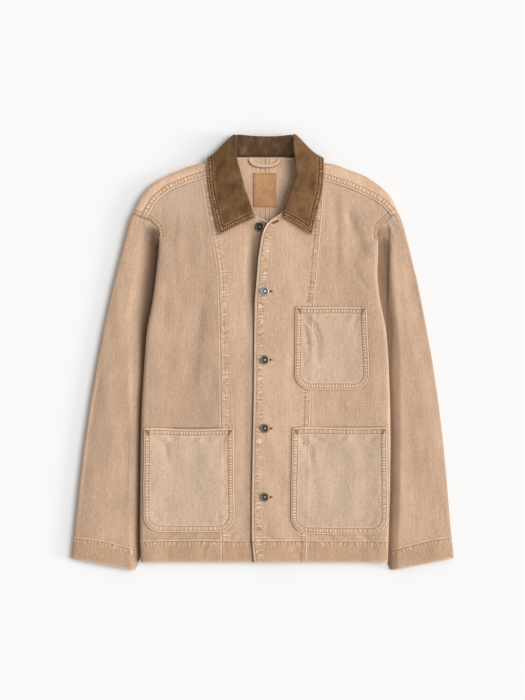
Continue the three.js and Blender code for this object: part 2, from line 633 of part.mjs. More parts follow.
function underCollar(rows) {
  const drop = CORDUROY / 2 + SEAM_GAP + LINING / 2;
  const moved = rows.map((row, i) => row.slice(FALL_START).map((p, k) => {
    const j = k + FALL_START;
    const across = row[Math.min(j + 1, row.length - 1)].clone().sub(row[j - 1]);
    const along = rows[Math.min(i + 1, rows.length - 1)][j].clone().sub(rows[Math.max(i - 1, 0)][j]);
    return p.clone().addScaledVector(across.cross(along).normalize(), drop);
  }));
  return wall(moved, LINING);
}

// What is sewn on
/** A patch pocket lying on the front, with round lower corners. */
function pocket({ mouth, base, top, bottom, radius }) {
  const side = base[1] > 0 ? 'left' : 'right';
  const lift = DENIM + SEAM_GAP + 0.25;
  const curve = [0, 0.12, 0.3, 0.6, 1].map((t) => t * radius);
  const straight = [0.33, 0.66, 1].map((t) => lerp(radius, top - bottom, t));
  const rows = [...curve, ...straight].map((rise) => {
    const y = bottom + rise;
    const share = rise / (top - bottom);
    const rounded = rise < radius ? radius - Math.sqrt(radius ** 2 - (radius - rise) ** 2) : 0;
    const from = lerp(base[0], mouth[0], share) + rounded;
    const to = lerp(base[1], mouth[1], share) - rounded;
    return steps(6).map((u) => {
      const x = lerp(from, to, u);
      return new THREE.Vector3(x, y, lappedHeight(side, Math.abs(x), y) + lift);
    });
  });
  return wall(rows, DENIM);
}

function label() {
  const size = { left: -16.5, right: 25, bottom: 270.5, top: 332.5 };
  const rows = steps(4).map((v) => steps(3).map((u) => {
    const x = lerp(size.left, size.right, u);
    const y = lerp(size.bottom, size.top, v);
    return new THREE.Vector3(x, y, backHeight('left', Math.abs(x), y) + DENIM / 2 + 0.45 + LINING / 2);
  }));
  return wall(rows, LINING);
}

/** A flat tape sewn down at both ends of the back neck, with its middle free. */
function hangerLoop() {
  const path = [[-24, 360], [-18, 352], [-8, 347], [4, 345.5], [16, 347], [26, 352], [32, 360]];
  const curve = new THREE.CatmullRomCurve3(path.map(([x, y]) => new THREE.Vector3(x, y, 0)));
  const halfWidth = 3.4;
  const height = BACK_FLOOR + DENIM + 0.4 + DENIM / 2;
  const across = steps(12).map((t) => {
    const at = curve.getPoint(t);
    const way = curve.getTangent(t);
    const rise = 1.6 * Math.sin(Math.PI * t);
    return [-halfWidth, halfWidth].map((reach) =>
      new THREE.Vector3(at.x - way.y * reach, at.y + way.x * reach, height + rise));
  });
  const rows = [0, 1].map((k) => across.map((pair) => pair[k]));
  return wall(rows, DENIM);
}
const BACK_FLOOR = NECK_LIFT;  // underside of the back at the neck

/** A tack button: a shank and a ring-shaped head with a sunk middle. */
function button(x, y) {
  const side = x < 0 ? 'right' : 'left';
  const seat = frontHeight(side, Math.abs(x), y) + DENIM / 2 + SEAM_GAP;
  const head = LAP_LIFT + SEAM_GAP + 0.1;
  const profile = [[0, 0], [3.6, 0], [3.6, 0.5], [2.3, 0.7], [2.3, head], [7.6, head],
    [BUTTON_RADIUS, head + 1], [BUTTON_RADIUS - 0.4, head + 2.2], [6.9, head + 2.9],
    [5.2, head + 2.6], [4.2, head + 1.7], [2.4, head + 1.7], [1.6, head + 2.4], [0, head + 2.6]];
  const turned3d = new THREE.LatheGeometry(profile.map(([r, z]) => new THREE.Vector2(r, z)), 16);
  turned3d.rotateX(Math.PI / 2);
  turned3d.translate(x, y, seat);
  turned3d.deleteAttribute('normal');
  turned3d.deleteAttribute('uv');
  return mergeVertices(turned3d);
}

/** The left front with a buttonhole for each fastened button. */
function cutButtonholes(geometry, heights) {
  let solid = toSolid(geometry);
  heights.forEach((y) => {
    const slot = new THREE.BoxGeometry(22, 6.4, 20);
    slot.translate(BUTTON_X + 7, y, FRONT_HEIGHT + 4);
    solid = solid.subtract(toSolid(slot));
  });
  return fromSolid(solid);
}

const buttonHeights = steps(3).map((t) => BUTTON_TOP_Y - 3 * t * BUTTON_STEP);

['right', 'left'].forEach((side) => {
  place(`back_${side}`, back(side), denim);
  place(`side_front_${side}`, sideFront(side), denim);
  place(`sleeve_${side}`, sleeve(side), denim);
});
place('centre_front_right', centreFront('right'), denim);
place('centre_front_left', cutButtonholes(centreFront('left'), buttonHeights), denim);
const collar = collarRows();
place('collar', wall(collar, CORDUROY), corduroy);
place('under_collar', underCollar(collar), denim);
POCKETS.forEach((size) => place(size.name, pocket(size), denim));
place('neck_label', label(), leatherette);
place('hanger_loop', hangerLoop(), denim);
place('button_1', button(OPEN_BUTTON.x, OPEN_BUTTON.y), metal);
buttonHeights.forEach((y, k) => place(`button_${k + 2}`, button(BUTTON_X, y), metal));

// The origin is at the bottom centre of everything.
const bounds = new THREE.Box3().setFromObject(jacket);
const centre = bounds.getCenter(new THREE.Vector3());
jacket.position.set(-centre.x, -centre.y, -bounds.min.z);

export default jacket;
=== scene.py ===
"""A denim barn jacket laid out flat, front up: cloth pieces, pockets, collar, buttons and stitching."""
import math

import bpy
import numpy as np
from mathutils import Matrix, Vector
from mathutils.bvhtree import BVHTree


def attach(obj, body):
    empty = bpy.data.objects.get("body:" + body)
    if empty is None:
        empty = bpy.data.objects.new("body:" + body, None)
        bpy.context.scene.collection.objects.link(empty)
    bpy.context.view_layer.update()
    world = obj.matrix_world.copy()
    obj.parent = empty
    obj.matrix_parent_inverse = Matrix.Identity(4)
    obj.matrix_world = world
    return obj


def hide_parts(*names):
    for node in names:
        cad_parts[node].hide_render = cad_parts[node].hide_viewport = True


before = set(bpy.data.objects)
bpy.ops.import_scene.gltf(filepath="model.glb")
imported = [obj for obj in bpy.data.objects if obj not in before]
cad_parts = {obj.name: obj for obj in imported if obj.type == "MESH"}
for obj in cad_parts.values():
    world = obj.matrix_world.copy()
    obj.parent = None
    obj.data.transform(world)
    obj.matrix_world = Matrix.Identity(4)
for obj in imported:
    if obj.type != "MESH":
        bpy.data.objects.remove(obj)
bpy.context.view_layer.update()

bl_info = {
    "name": "Denim barn jacket",
    "version": (1, 0, 0),
    "blender": (4, 5, 0),
    "location": "3D View > Sidebar > Jacket",
    "description": "Makes a denim barn jacket with a corduroy collar, laid out flat",
    "category": "Add Mesh",
}

MM = 0.001
SIDES = ("right", "left")      # the wearer's; the right side is at -X
SIGN = {"right": -1.0, "left": 1.0}

# -------------- sizes, in millimetres
DENIM = 1.2
CORDUROY = 1.4
LINING = 1.0
SEAM_GAP = 0.3
HEM_Y = -387.0
CENTRE_BACK = 4.0
FRONT_HEIGHT = 12.5
FOLD_RISE = 4.2
SHOULDER_RISE = 3.0
LAP_LIFT = 3.4
LAP_EDGE = 24.0
NECK_LIFT = 4.4
BACK_FOLD_HEIGHT = 9.2
FRONT_TUCK_HEIGHT = 4.8
BACK_FOLD_RADIUS = 1.1
FOLD_START, FOLD_END = 192.0, 216.0
SLEEVE_FLAT, SLEEVE_HEIGHT = 2.8, 12.0
FOLD_GAIN = 1.35
SHOULDER_POINT = 75.0
BACK_NECK_Y = 362.0
HEM_LINE_Y = -349.0            # the stitch line that holds the turned-up hem
BUTTON_X = 3.9
BUTTON_HEIGHTS = [113.5 - 126.6 * k for k in range(4)]
OPEN_BUTTON = (-5.5, 232.6)
LABEL_X, LABEL_Y = (-16.5, 25), (270.5, 332.5)


def table(*rows):
    return np.array(rows, float)


# Each row: height, then the distance outwards on the right and on the left.
BODY_EDGE = table(
    (-387, 225, 232), (-346, 227, 233), (-255, 226, 236), (-161, 225, 237), (-87, 223, 236),
    (-10, 218, 233), (44, 214, 229), (99, 203, 217), (144, 197, 212), (181, 193, 214), (216, 191, 214))
PANEL_SEAM = table(
    (-387, 75, 81), (-137, 77, 87), (24, 78.5, 91), (87, 80, 94.5), (151, 82, 101), (192, 88, 104),
    (233, 97, 108), (273, 103, 111), (330, 112, 114))
TUCK = table((-387, 58), (10, 62), (120, 28), (192, 3), (216, 0))
SLEEVE_OUTER = table(
    (-380, 354, 354), (-309, 347, 347), (-235, 339.5, 341), (-161, 330, 334), (-87, 319, 325),
    (-13, 306, 314), (61, 291.5, 300.5), (135, 275, 286), (172, 265.5, 276.5), (209, 256, 267.5),
    (246, 247, 258), (262, 240, 250))
SLEEVE_INNER = table(
    (-404, 238, 240), (-372, 226, 228), (-300, 212, 218), (-161, 185, 193), (10, 152, 169))
CUFF_Y = (-380.0, -402.0)
# Each row: height, then X, for the front edge with its neckline.
FRONT_EDGE = {
    "left": table(
        (-390, -15), (-346, -19.5), (-272, -19.5), (-180, -18), (-87, -16), (31, -15), (98, -14),
        (129, -11), (172, -8), (207, -3), (218, -1), (231, 4), (242, 11), (247, 18), (258, 36), (290, 58),
        (335, 75)),
    "right": table(
        (-387, LAP_EDGE), (207, LAP_EDGE), (231, 21), (242, 10), (247, 2), (251, -14), (262, -27),
        (290, -50), (335, -75)),
}
# Each row: distance outwards, then height.
ARMHOLE = {
    "right": table((191, 216), (193, 231), (206, 244), (219, 249.5), (240, 258)),
    "left": table((214, 216), (217, 236), (229, 246), (239, 255), (250, 262)),
}
SHOULDER_SEAM = {
    "right": table((75, 335), (103, 325), (134, 315), (171, 300), (193, 283), (205, 266), (214, 248)),
    "left": table((75, 335), (113, 319), (153, 307), (186, 293), (209, 281), (225, 270), (237, 254)),
}
SHOULDER_TOP = {
    "right": table(
        (75, 353), (95, 350), (112, 351), (134, 345.5), (153, 338), (171, 331), (186, 323), (201, 316),
        (217, 301), (230, 283), (240, 258)),
    "left": table(
        (75, 353), (95, 350), (123, 351), (143, 345.5), (160, 338), (182, 331), (197, 323), (217, 308.5),
        (234, 294), (244, 278), (250, 262)),
}
# Sections of the collar: neck seam, roll line, middle of the fall, its edge, and how the roll lies.
COLLAR = {
    "right": [
        (17, 253, 16.6, 14, 250, 20, 48, 234, 21, 79, 218, 19.8, 90),
        (29, 266, 16.6, 20, 266, 21, 54, 256, 22, 86, 245, 19.8, 90),
        (50, 291, 16.6, 33, 303, 23, 66, 300, 23, 98, 297, 19.8, 85),
        (64, 313, 17.5, 41, 332, 25, 72, 331, 23.5, 101, 329, 19.8, 75),
        (71, 337, 16.6, 47, 353, 26, 76, 354, 23, 102, 347, 19.6, 50),
        (72, 349, 15, 50, 370, 26, 78, 370, 20, 102, 360, 13, 30),
        (71, 359, 11, 51, 384, 24, 73, 385, 13, 94, 356, 2.4, 10),
        (63, 363, 7.5, 50.5, 397, 20, 56, 399, 8, 76, 343, 0.9, -20),
        (44, 363.5, 6, 45, 402, 17, 46, 393, 1.6, 52, 334, 0.8, -60),
        (20, 363.5, 5.6, 18, 400, 16, 18, 389, 1.2, 20, 330, 0.8, -75),
    ],
    "left": [
        (37, 258, 18.6, 38, 252, 22, 66, 236, 22.4, 91, 218, 20.4, 90),
        (44, 267, 18.5, 41, 266, 22.5, 71, 256, 23, 97, 245, 20, 90),
        (60, 291, 17.8, 52, 296, 24, 82, 297, 23.5, 110, 297, 19.8, 85),
        (70, 313, 17.6, 62, 326, 25.5, 88, 329, 23.5, 113, 329, 19.8, 75),
        (73.4, 337, 17.4, 62, 350, 26, 88, 353, 23, 113, 347, 19.6, 50),
        (74, 349, 15, 59, 370, 26, 85, 371, 20, 112, 360, 13, 30),
        (73, 359, 11, 58, 384, 24, 79, 385, 13, 101, 356, 2.4, 10),
        (68, 363, 7.5, 57.5, 397, 20, 63, 399, 8, 84, 343, 0.9, -20),
        (51, 363.5, 6, 52, 402, 17, 53, 393, 1.6, 60, 334, 0.8, -60),
        (28, 363.5, 5.6, 26, 400, 16, 26, 389, 1.2, 28, 330, 0.8, -75),
    ],
}
# Height, then X, of the line that the left leaf's painted shade on the inside of the back starts from.
COLLAR_SHADE = table((245, 36), (252, 38), (296, 52), (326, 62), (362, 62))
COLLAR_BACK = (4, 363.5, 5.6, 4, 399.5, 16, 4, 388, 1.2, 4, 330, 0.8, -75)
NECK_CENTRE = np.array([4.0, 300.0])
ROLL_RADIUS = 1.6
ROLL_COLUMN = 11 + 3           # the crest of the roll in each row of the collar
FALL_COLUMN = 11 + 7           # where the fall starts

# The folds that the cloth lies in: points along each, its half width, and its depth (a ridge is
# less than nothing).
FRONT_FOLDS = {
    "right": [
        (-106, 160, -122, 25, -138, -110, 17, 2.4), (-172, 150, -186, 10, 15, 1.6),
        (-160, 282, -166, 200, -158, 98, 9, 0.9), (-176, 171, -184, 42, 8, 0.8),
        (-126, 290, -118, 215, -112, 150, 10, -0.7), (-20, 240, -21, 150, -23, 30, 8, 3.4),
        (-52, 205, -60, 60, -50, -90, 14, -0.6), (-96, -10, -84, -120, 12, 0.6),
        (-205, -20, -196, -120, 11, 0.7), (-150, 60, -160, -60, 10, -0.7),
        (-32, -20, -30, -200, -34, -330, 8, 0.7), (-120, -336, -86, -345, 4, 0.5),
        (-172, -334, -150, -344, 4, 0.5), (-205, -332, -190, -345, 4, -0.5),
        (-108, -352, -112, -384, 6, 0.5), (-184, 272, -190, 254, -188, 236, 4, 1.6),
        (-40, -350, -46, -386, 7, 0.6)],
    "left": [
        (150, 275, 172, 220, 196, 165, 15, 2.6), (130, 301, 136, 255, 139.7, 190, 134, 130, 8, 1),
        (162, 172, 184, 132, 204, 105, 8, 0.9), (146, 296, 152, 250, 160, 215, 7, -0.8),
        (118, 180, 128, 120, 122, 88, 10, -0.5), (216, 60, 222, -40, 214, -120, 9, 0.8),
        (140, -72, 150, -132, 12, 0.7), (44, 190, 52, 60, 40, -60, 13, -0.5),
        (30, -90, 36, -200, 28, -320, 9, 0.5), (56, -352, 70, -386, 7, 0.9), (74, -334, 58, -346, 4, 0.5),
        (120, -334, 104, -347, 4, 0.5), (180, -333, 168, -346, 4, -0.4), (206, -352, 210, -386, 8, 0.5),
        (204, 284, 216, 270, 222, 252, 4, 1.5)]}
SLEEVE_FOLDS = {
    "right": [
        (-222, 215, -240, 80, -262, -40, 12, 1.2), (-246, 215, -262, 120, -280, 20, 11, -0.8),
        (-300, 10, -322, -160, -336, -300, 14, 0.7), (-272, -60, -286, -210, -300, -330, 16, -0.7),
        (-244, -90, -250, -200, -262, -330, 10, 0.9), (-214, 236, -226, 190, 6, 1),
        (-204, 226, -212, 176, 5, 0.8), (-296, -330, -286, -372, 8, 0.4)],
    "left": [
        (222, 240, 232, 120, 243, 0, 7, 1.6), (236, 225, 246, 100, 256, -20, 9, -1.3),
        (262, 190, 280, 60, 296, -60, 13, 0.8), (300, -20, 322, -180, 338, -320, 14, -0.6),
        (262, -60, 276, -200, 286, -330, 12, 0.9), (252, -140, 254, -240, 262, -340, 8, -0.7),
        (226, 244, 240, 205, 5, 1.1), (232, 250, 252, 222, 5, 0.9), (312, -335, 306, -376, 8, 0.4)]}
BACK_FOLDS = [
    (-120, 200, -90, 40, -110, -140, 16, -0.5), (90, 240, 110, 90, 84, -60, 14, -0.4),
    (-40, 320, -30, 250, 8, -0.4)]
POCKETS = {
    "pocket_chest": dict(
        side="left", mouth=(62, 192.5), base=(59, 197), top=84.5, bottom=-68,
        radius=30, dip=0.0, folds=[
            (68, 76, 97, 50, 110, 14, 6, 1.5), (74, 60, 84, 30, 86, -10, 5, 0.9),
            (104, 42, 102, -32, 8, 1), (176, 66, 166, 40, 5, 0.6), (150, 70, 158, 20, 12, -0.6)]),
    "pocket_lower_left": dict(
        side="left", mouth=(55.5, 230), base=(52.5, 231), top=-138, bottom=-335,
        radius=32, dip=1.0, folds=[
            (64, -150, 88, -176, 92, -215, 6, 1.4), (84, -152, 112, -166, 140, -168, 5, 0.8),
            (70, -300, 96, -316, 5, 0.7), (214, -296, 196, -316, 5, 0.7), (212, -152, 196, -170, 5, 0.7),
            (96, -190, 100, -300, 10, 0.6), (170, -160, 180, -280, 18, -0.7)]),
    "pocket_lower_right": dict(
        side="right", mouth=(-219, -53.5), base=(-220, -51.5), top=-138.5, bottom=-331,
        radius=32, dip=3.0, folds=[
            (-204, -154, -180, -170, -176, -205, 7, 1.3), (-178, -152, -150, -164, -124, -160, 5, 0.8),
            (-204, -290, -184, -314, 5, 0.7), (-72, -292, -88, -314, 5, 0.8),
            (-66, -154, -84, -172, 5, 0.7), (-130, -158, -118, -250, 16, 0.7),
            (-80, -170, -86, -300, 12, -0.6)])}


# -------------- small tools
def smooth(start, end, at):
    t = np.clip((np.asarray(at, float) - start) / (end - start), 0, 1)
    return t * t * (3 - 2 * t)


def lerp(a, b, t):
    return a + (b - a) * t


def bell(at, middle, half):
    return np.exp(-((at - middle) / half) ** 2)


def unit(ways):
    return ways / np.maximum(np.linalg.norm(ways, axis=-1, keepdims=True), 1e-9)


def rounded(table, window=16.0, step=2.0):
    """The table's columns read at any key, with its corners rounded over about the window."""
    keys = np.arange(table[0, 0] - window, table[-1, 0] + window + step, step)
    kernel = np.hanning(int(window / step) * 2 + 3)
    kernel /= kernel.sum()
    slopes = np.diff(table, axis=0) / np.diff(table[:, :1], axis=0)
    columns = []
    for column, first, last in zip(table.T, slopes[0], slopes[-1]):
        value = (np.interp(keys, table[:, 0], column) + first * np.minimum(keys - table[0, 0], 0)
                 + last * np.maximum(keys - table[-1, 0], 0))
        columns.append(np.convolve(np.pad(value, len(kernel) // 2, mode="edge"), kernel, mode="valid"))
    return lambda at, column=0: np.interp(at, keys, columns[column + 1])


def noise(x, y, pitch, seed):
    """Soft even noise from -1 to 1 over a plane, with the same result on every run."""
    def corner(i, j):
        value = np.sin(i * 127.1 + j * 311.7 + seed * 74.7) * 43758.5453
        return 2 * (value - np.floor(value)) - 1
    px, py = np.broadcast_arrays(np.asarray(x, float) / pitch, np.asarray(y, float) / pitch)
    i, j = np.floor(px), np.floor(py)
    u, v = smooth(0, 1, px - i), smooth(0, 1, py - j)
    return lerp(lerp(corner(i, j), corner(i + 1, j), u),
                lerp(corner(i, j + 1), corner(i + 1, j + 1), u), v)


def measured(path):
    """The path's points and how far along it each is."""
    path = np.asarray(path, float)
    steps = np.linalg.norm(np.diff(path, axis=0), axis=1)
    return path, np.concatenate([[0.0], np.cumsum(steps)])


def path_at(path, t):
    """Places at shares of the way through the path's list of points."""
    k = np.linspace(0, 1, len(path))
    return np.interp(t, k, path[:, 0]), np.interp(t, k, path[:, 1])


def along(path, x, y):
    """How far along the path, and how far from it, each place lies. Left of it is positive."""
    path, runs = measured(path)
    x, y = np.broadcast_arrays(x, y)
    place = np.stack([x.ravel(), y.ravel()], 1)
    best = np.full(len(place), np.inf)
    run, aside = np.zeros((2, len(place)))
    for k in range(len(path) - 1):
        way = path[k + 1] - path[k]
        length = math.hypot(*way)
        if length < 1e-9:
            continue
        rel = place - path[k]
        t = np.clip(rel @ way / length ** 2, 0, 1)
        gap = np.linalg.norm(rel - t[:, None] * way, axis=1)
        nearer = gap < best
        best = np.where(nearer, gap, best)
        run = np.where(nearer, runs[k] + t * length, run)
        left = np.sign(way[0] * rel[:, 1] - way[1] * rel[:, 0])
        aside = np.where(nearer, gap * np.where(left == 0, 1, left), aside)
    return run.reshape(x.shape), aside.reshape(x.shape)


def beside(path, x, y):
    """How far along the path, and how far from it on either side, each place lies."""
    run, aside = along(path, x, y)
    return run, np.abs(aside)


def fold_depth(folds, x, y):
    """How deep the folds press the cloth at each place: full along them, fading at their ends."""
    total = 0.0
    for *points, width, depth in folds:
        points = np.reshape(points, (-1, 2))
        run, aside = along(points, x, y)
        t = run / measured(points)[1][-1]
        ends = smooth(-0.05, 0.35, t) * (1 - smooth(0.65, 1.05, t))
        uneven = 1 + 0.35 * noise(run, 0, 31.0, depth * 10 + width)
        sharper = np.where(aside > 0, 0.75, 1.15) * width
        total = total + FOLD_GAIN * depth * ends * uneven * bell(aside, 0, sharper)
    return total


def puckers(run, reach, pitch, seed, start, end, lean=0.0):
    """Uneven crests and hollows across a seam, from -1 to 1, between two distances from it."""
    shape = noise(run + lean * reach, reach * 0.3, pitch, seed)
    fine = noise(run + lean * reach, reach * 0.3, pitch * 0.6, seed + 5)
    middle = (start + end) / 2
    span = smooth(start, lerp(start, middle, 0.7), reach) * (1 - smooth(middle, end, reach))
    return np.clip(1.4 * (0.6 * shape + 0.6 * fine), -1, 1) * span


# -------------- heights and lines of the cloth
_edge, _panel, _tuck = rounded(BODY_EDGE, 24), rounded(PANEL_SEAM, 24), rounded(TUCK, 8)
_outer, _inner = rounded(SLEEVE_OUTER, 30), rounded(SLEEVE_INNER, 30)
_front = {side: rounded(FRONT_EDGE[side], 7) for side in SIDES}
_shoulder = {side: rounded(SHOULDER_SEAM[side], 10, 1) for side in SIDES}


def body_edge(side, y):
    return _edge(y, SIDES.index(side))


def panel_seam(side, y):
    return _panel(y, SIDES.index(side))


def turned(y):
    """1 where the side is folded under, falling to 0 at the underarm."""
    return 1 - smooth(FOLD_START, FOLD_END, y)


def front_height(side, x, y):
    """Mid-height of the front, with its folds, without the lap."""
    out = SIGN[side] * x
    edge = body_edge(side, y)
    near_fold = smooth(edge - 60, edge - 12, out) * turned(y)
    flat = FRONT_HEIGHT + FOLD_RISE * near_fold + SHOULDER_RISE * smooth(180, 320, y)
    soft = 0.55 * noise(x, y * 0.6, 64, 3) + 0.16 * noise(x, y * 0.5, 23, 9)
    soft = soft + 1.7 * noise(x * 0.8 + y * SIGN[side], y * 0.4, 10, 133) * bell(y, -339, 9)
    at_edge = 1 - smooth(edge - 8, edge, out)
    return flat - fold_depth(FRONT_FOLDS[side], x, y) * at_edge + soft * at_edge


def lapped_height(side, x, y):
    lift = LAP_LIFT * (1 - smooth(18, 84, x)) if side == "left" else 0.0
    return front_height(side, x, y) + lift


def back_height(side, x, y):
    """Mid-height of the back, over its own tucked side and over the turned-down collar."""
    out = SIGN[side] * x
    tuck_end = body_edge(side, y) - _tuck(y)
    over_tuck = smooth(tuck_end - 45, tuck_end - 5, out) * turned(y)
    over_collar = smooth(285, 318, y) * (1 - smooth(92, 125, out))
    return (lerp(DENIM / 2, BACK_FOLD_HEIGHT, over_tuck) + NECK_LIFT * over_collar
            - fold_depth(BACK_FOLDS, x, y) * (1 - over_tuck))


def seam_line(side):
    y = np.linspace(HEM_Y, 330, 120)
    return np.stack([SIGN[side] * panel_seam(side, y), y], 1)


def front_edge_line():
    y = np.linspace(-390, 247, 160)
    return np.stack([_front["left"](y), y], 1)


def armhole_line(side):
    """Up the armhole from the underarm fold to the shoulder tip."""
    out, y = path_at(ARMHOLE[side], np.linspace(0, 1, 40))
    return np.stack([SIGN[side] * out, y], 1)


def shoulder_line(side):
    """Along the forward shoulder seam from the neck to the armhole."""
    out = np.linspace(SHOULDER_SEAM[side][0, 0], SHOULDER_SEAM[side][-1, 0], 60)
    return np.stack([SIGN[side] * out, _shoulder[side](out)], 1)


def cuff_line(side):
    """The cuff's stitch line from its outer edge to its inner edge."""
    return {"right": table((-350, -343), (-300, -348.5), (-262, -358), (-226, -368)),
            "left": table((350, -342), (310, -348), (272, -358), (226, -371))}[side]


# -------------- meshes
def cloth_mesh(name, mid, thickness, grain=None, marks=None, has=None, ring=False, flipped=False):
    """A closed wall of cloth round a grid of mid-surface points, with round edges.

    grain is the cloth's own plan for each point, marks are named values for the material, one or
    a pair for the two faces, has says which cells of the grid there is cloth in, and flipped
    runs the columns the other way, so that the wall faces up."""
    grain = mid[..., :2] if grain is None else grain
    marks = {key: value if isinstance(value, tuple) else (value, value)
             for key, value in (marks or {}).items()}
    rows, columns = mid.shape[:2]
    if has is None:
        has = np.ones((rows - 1, columns if ring else columns - 1), bool)
    if flipped:
        mid, grain, has = mid[:, ::-1], grain[:, ::-1], has[:, ::-1]
        marks = {key: [value[:, ::-1] for value in pair] for key, pair in marks.items()}
    across = np.roll(mid, -1, 1) - np.roll(mid, 1, 1) if ring else np.gradient(mid, axis=1)
    normals = unit(np.cross(across, np.gradient(mid, axis=0))).reshape(-1, 3)
    index = np.arange(rows * columns).reshape(rows, columns)
    i, j = np.nonzero(has)
    a, b = index[i, j], index[i, (j + 1) % columns]
    c, d = index[i + 1, (j + 1) % columns], index[i + 1, j]
    wide = grain.shape[1]
    ga, gb = i * wide + j, i * wide + (j + 1) % wide
    gc, gd = gb + wide, ga + wide
    shut = np.pad(has, 1, constant_values=False)
    if ring:
        shut[1:-1, 0], shut[1:-1, -1] = has[:, -1], has[:, 0]
    sides = [(~shut[i, j + 1], a, b, ga, gb), (~shut[i + 1, j + 2], b, c, gb, gc),
             (~shut[i + 2, j + 1], c, d, gc, gd), (~shut[i + 1, j], d, a, gd, ga)]
    p, q, gp, gq = (np.concatenate([s[k][s[0]] for s in sides]) for k in range(1, 5))
    points = mid.reshape(-1, 3)
    push = unit(np.cross(points[q] - points[p], normals[p]))
    outward = np.zeros_like(points)
    np.add.at(outward, p, push)
    np.add.at(outward, q, push)
    count = len(points)
    every = np.concatenate([points + normals * thickness / 2, points - normals * thickness / 2,
                            points + unit(outward) * thickness * 0.35])
    faces = np.concatenate([
        np.stack([a, b, c, d], 1), np.stack([a, d, c, b], 1) + count,
        np.stack([p, p + 2 * count, q + 2 * count, q], 1),
        np.stack([p + 2 * count, p + count, q + count, q + 2 * count], 1)])
    corners = np.concatenate([
        np.stack([ga, gb, gc, gd], 1), np.stack([ga, gd, gc, gb], 1),
        np.stack([gp, gp, gq, gq], 1), np.stack([gp, gp, gq, gq], 1)])
    plan = grain.reshape(-1, 2)[corners.ravel()] * MM
    used, faces = np.unique(faces, return_inverse=True)
    mesh = bpy.data.meshes.new(name)
    mesh.vertices.add(len(used))
    mesh.vertices.foreach_set("co", (every[used] * MM).astype(np.float32).ravel())
    mesh.loops.add(faces.size)
    mesh.loops.foreach_set("vertex_index", faces.astype(np.int32).ravel())
    mesh.polygons.add(len(corners))
    mesh.polygons.foreach_set("loop_start", np.arange(len(corners), dtype=np.int32) * 4)
    mesh.polygons.foreach_set("use_smooth", np.ones(len(corners), bool))
    mesh.uv_layers.new(name="grain").data.foreach_set("uv", plan.astype(np.float32).ravel())
    for key, (upper, lower) in marks.items():
        value = np.concatenate([v.reshape(count, -1) for v in (upper, lower, upper)])[used]
        kind, field = ("FLOAT", "value") if value.shape[1] == 1 else ("FLOAT_VECTOR", "vector")
        layer = mesh.attributes.new(key, kind, "POINT")
        layer.data.foreach_set(field, value.astype(np.float32).ravel())
    mesh.update(calc_edges=True)
    mesh.validate()
    return mesh


def linked(made):
    bpy.context.scene.collection.objects.link(made)
    return made


def piece(mesh, finish, slot, *replaces):
    made = linked(bpy.data.objects.new(mesh.name, mesh))
    mesh.materials.clear()
    mesh.materials.append(materials()[finish])
    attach(made, "root")
    if replaces:
        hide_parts(*replaces)
    return made


def mark(run, reach, on=1.0):
    """A seam's mark for the material: metres along it, metres across it, and whether it counts."""
    return np.stack(np.broadcast_arrays(run * MM, reach * MM, on), -1)


def painted_shade(reach, width, depth):
    """Painted shade for the material, darkening the cloth where shade falls beside folds, edges and seams:
    how far off it is, its width and depth.
    """
    return np.stack(np.broadcast_arrays(np.abs(reach) * MM, width * MM, depth), -1)


def pocket_shade_reach(side, x, y):
    """How far off the edge of the nearest pocket sewn on this side is, for the painted shade round it."""
    reach = np.full(np.shape(x), 50.0)
    for name, shape in POCKETS.items():
        if shape["side"] == side:
            outline = pocket_outline(name)
            reach = np.minimum(reach, beside(np.concatenate([outline, outline[:1]]), x, y)[1])
    return reach


def grid_of(x, y, z):
    return np.stack(np.broadcast_arrays(x, y, z), -1).astype(float)


def raised(plan, z):
    return grid_of(plan[..., 0], plan[..., 1], z)


def padded(grid, more):
    """The grid with spare columns beside it, to be as wide as the rows that go under the fold."""
    return np.hstack([grid, grid[:, -1:] + [1, 0, 0] * np.arange(1, more + 1)[:, None]])


def steps_of(start, end, pitch):
    return np.linspace(start, end, max(int(round(abs(end - start) / pitch)), 1) + 1)


def runs_of(grid, axis):
    """How far along the grid's lines each of its points lies."""
    return np.insert(np.cumsum(np.linalg.norm(np.diff(grid, axis=axis), axis=2), axis), 0, 0, axis)


def side_turn(side, y, height, radius, inset, drop, arc, strip):
    """Beyond the side fold: an arc out and down, then a strip back under. Returns the fold's
    start and the points beyond it, one row for each height."""
    y, height, radius = (np.reshape(v, (-1, 1)) for v in (y, height, radius))
    edge, angle = body_edge(side, y), np.maximum(np.pi * turned(y), 0.12)
    start = (edge - DENIM / 2 - inset * turned(y) - radius * np.sin(np.minimum(angle, np.pi / 2))
             - np.maximum(np.cos(angle), 0) * 0.6)
    length = np.maximum(start + radius * np.sin(angle) - (edge - _tuck(y)), 0.6)
    turn, s = angle * np.linspace(0, 1, arc + 1)[1:], np.linspace(0, 1, strip + 1)[1:]
    arc_out, arc_z = start + radius * np.sin(turn), height - radius * (1 - np.cos(turn))
    strip_out = arc_out[:, -1:] + length * s * np.cos(angle)
    strip_z = arc_z[:, -1:] - length * s * np.sin(angle) - drop * turned(y) * s
    return start, grid_of(np.hstack([arc_out, strip_out]), y, np.hstack([arc_z, strip_z]))


def patch(inner, outer, top, ends, u, t):
    """Places between an inner path, an outer path and the top path that joins their ends."""
    return lerp(inner[:, None], outer[:, None], u) + t[:, None] * (top - lerp(*ends, u))


def hem_marks(x, y, seed):
    """The hem: its mark, its relief in millimetres, and its crests."""
    reach = HEM_LINE_Y + 1.2 * noise(x, 0, 60, seed) - y
    crest = puckers(x, reach, 5.4, seed, -2, 17, lean=0.45)
    step = 0.5 * smooth(-1.5, 1.5, reach) - 0.35 * bell(reach, 0, 1.6)
    return mark(x, reach), step + 0.55 * crest, crest


def worn_edge(*gaps):
    """How rubbed the cloth is near its edges, from the distance to each."""
    return np.clip(sum(np.exp(-np.maximum(gap, 0) / 1.5) for gap in gaps), 0, 1)


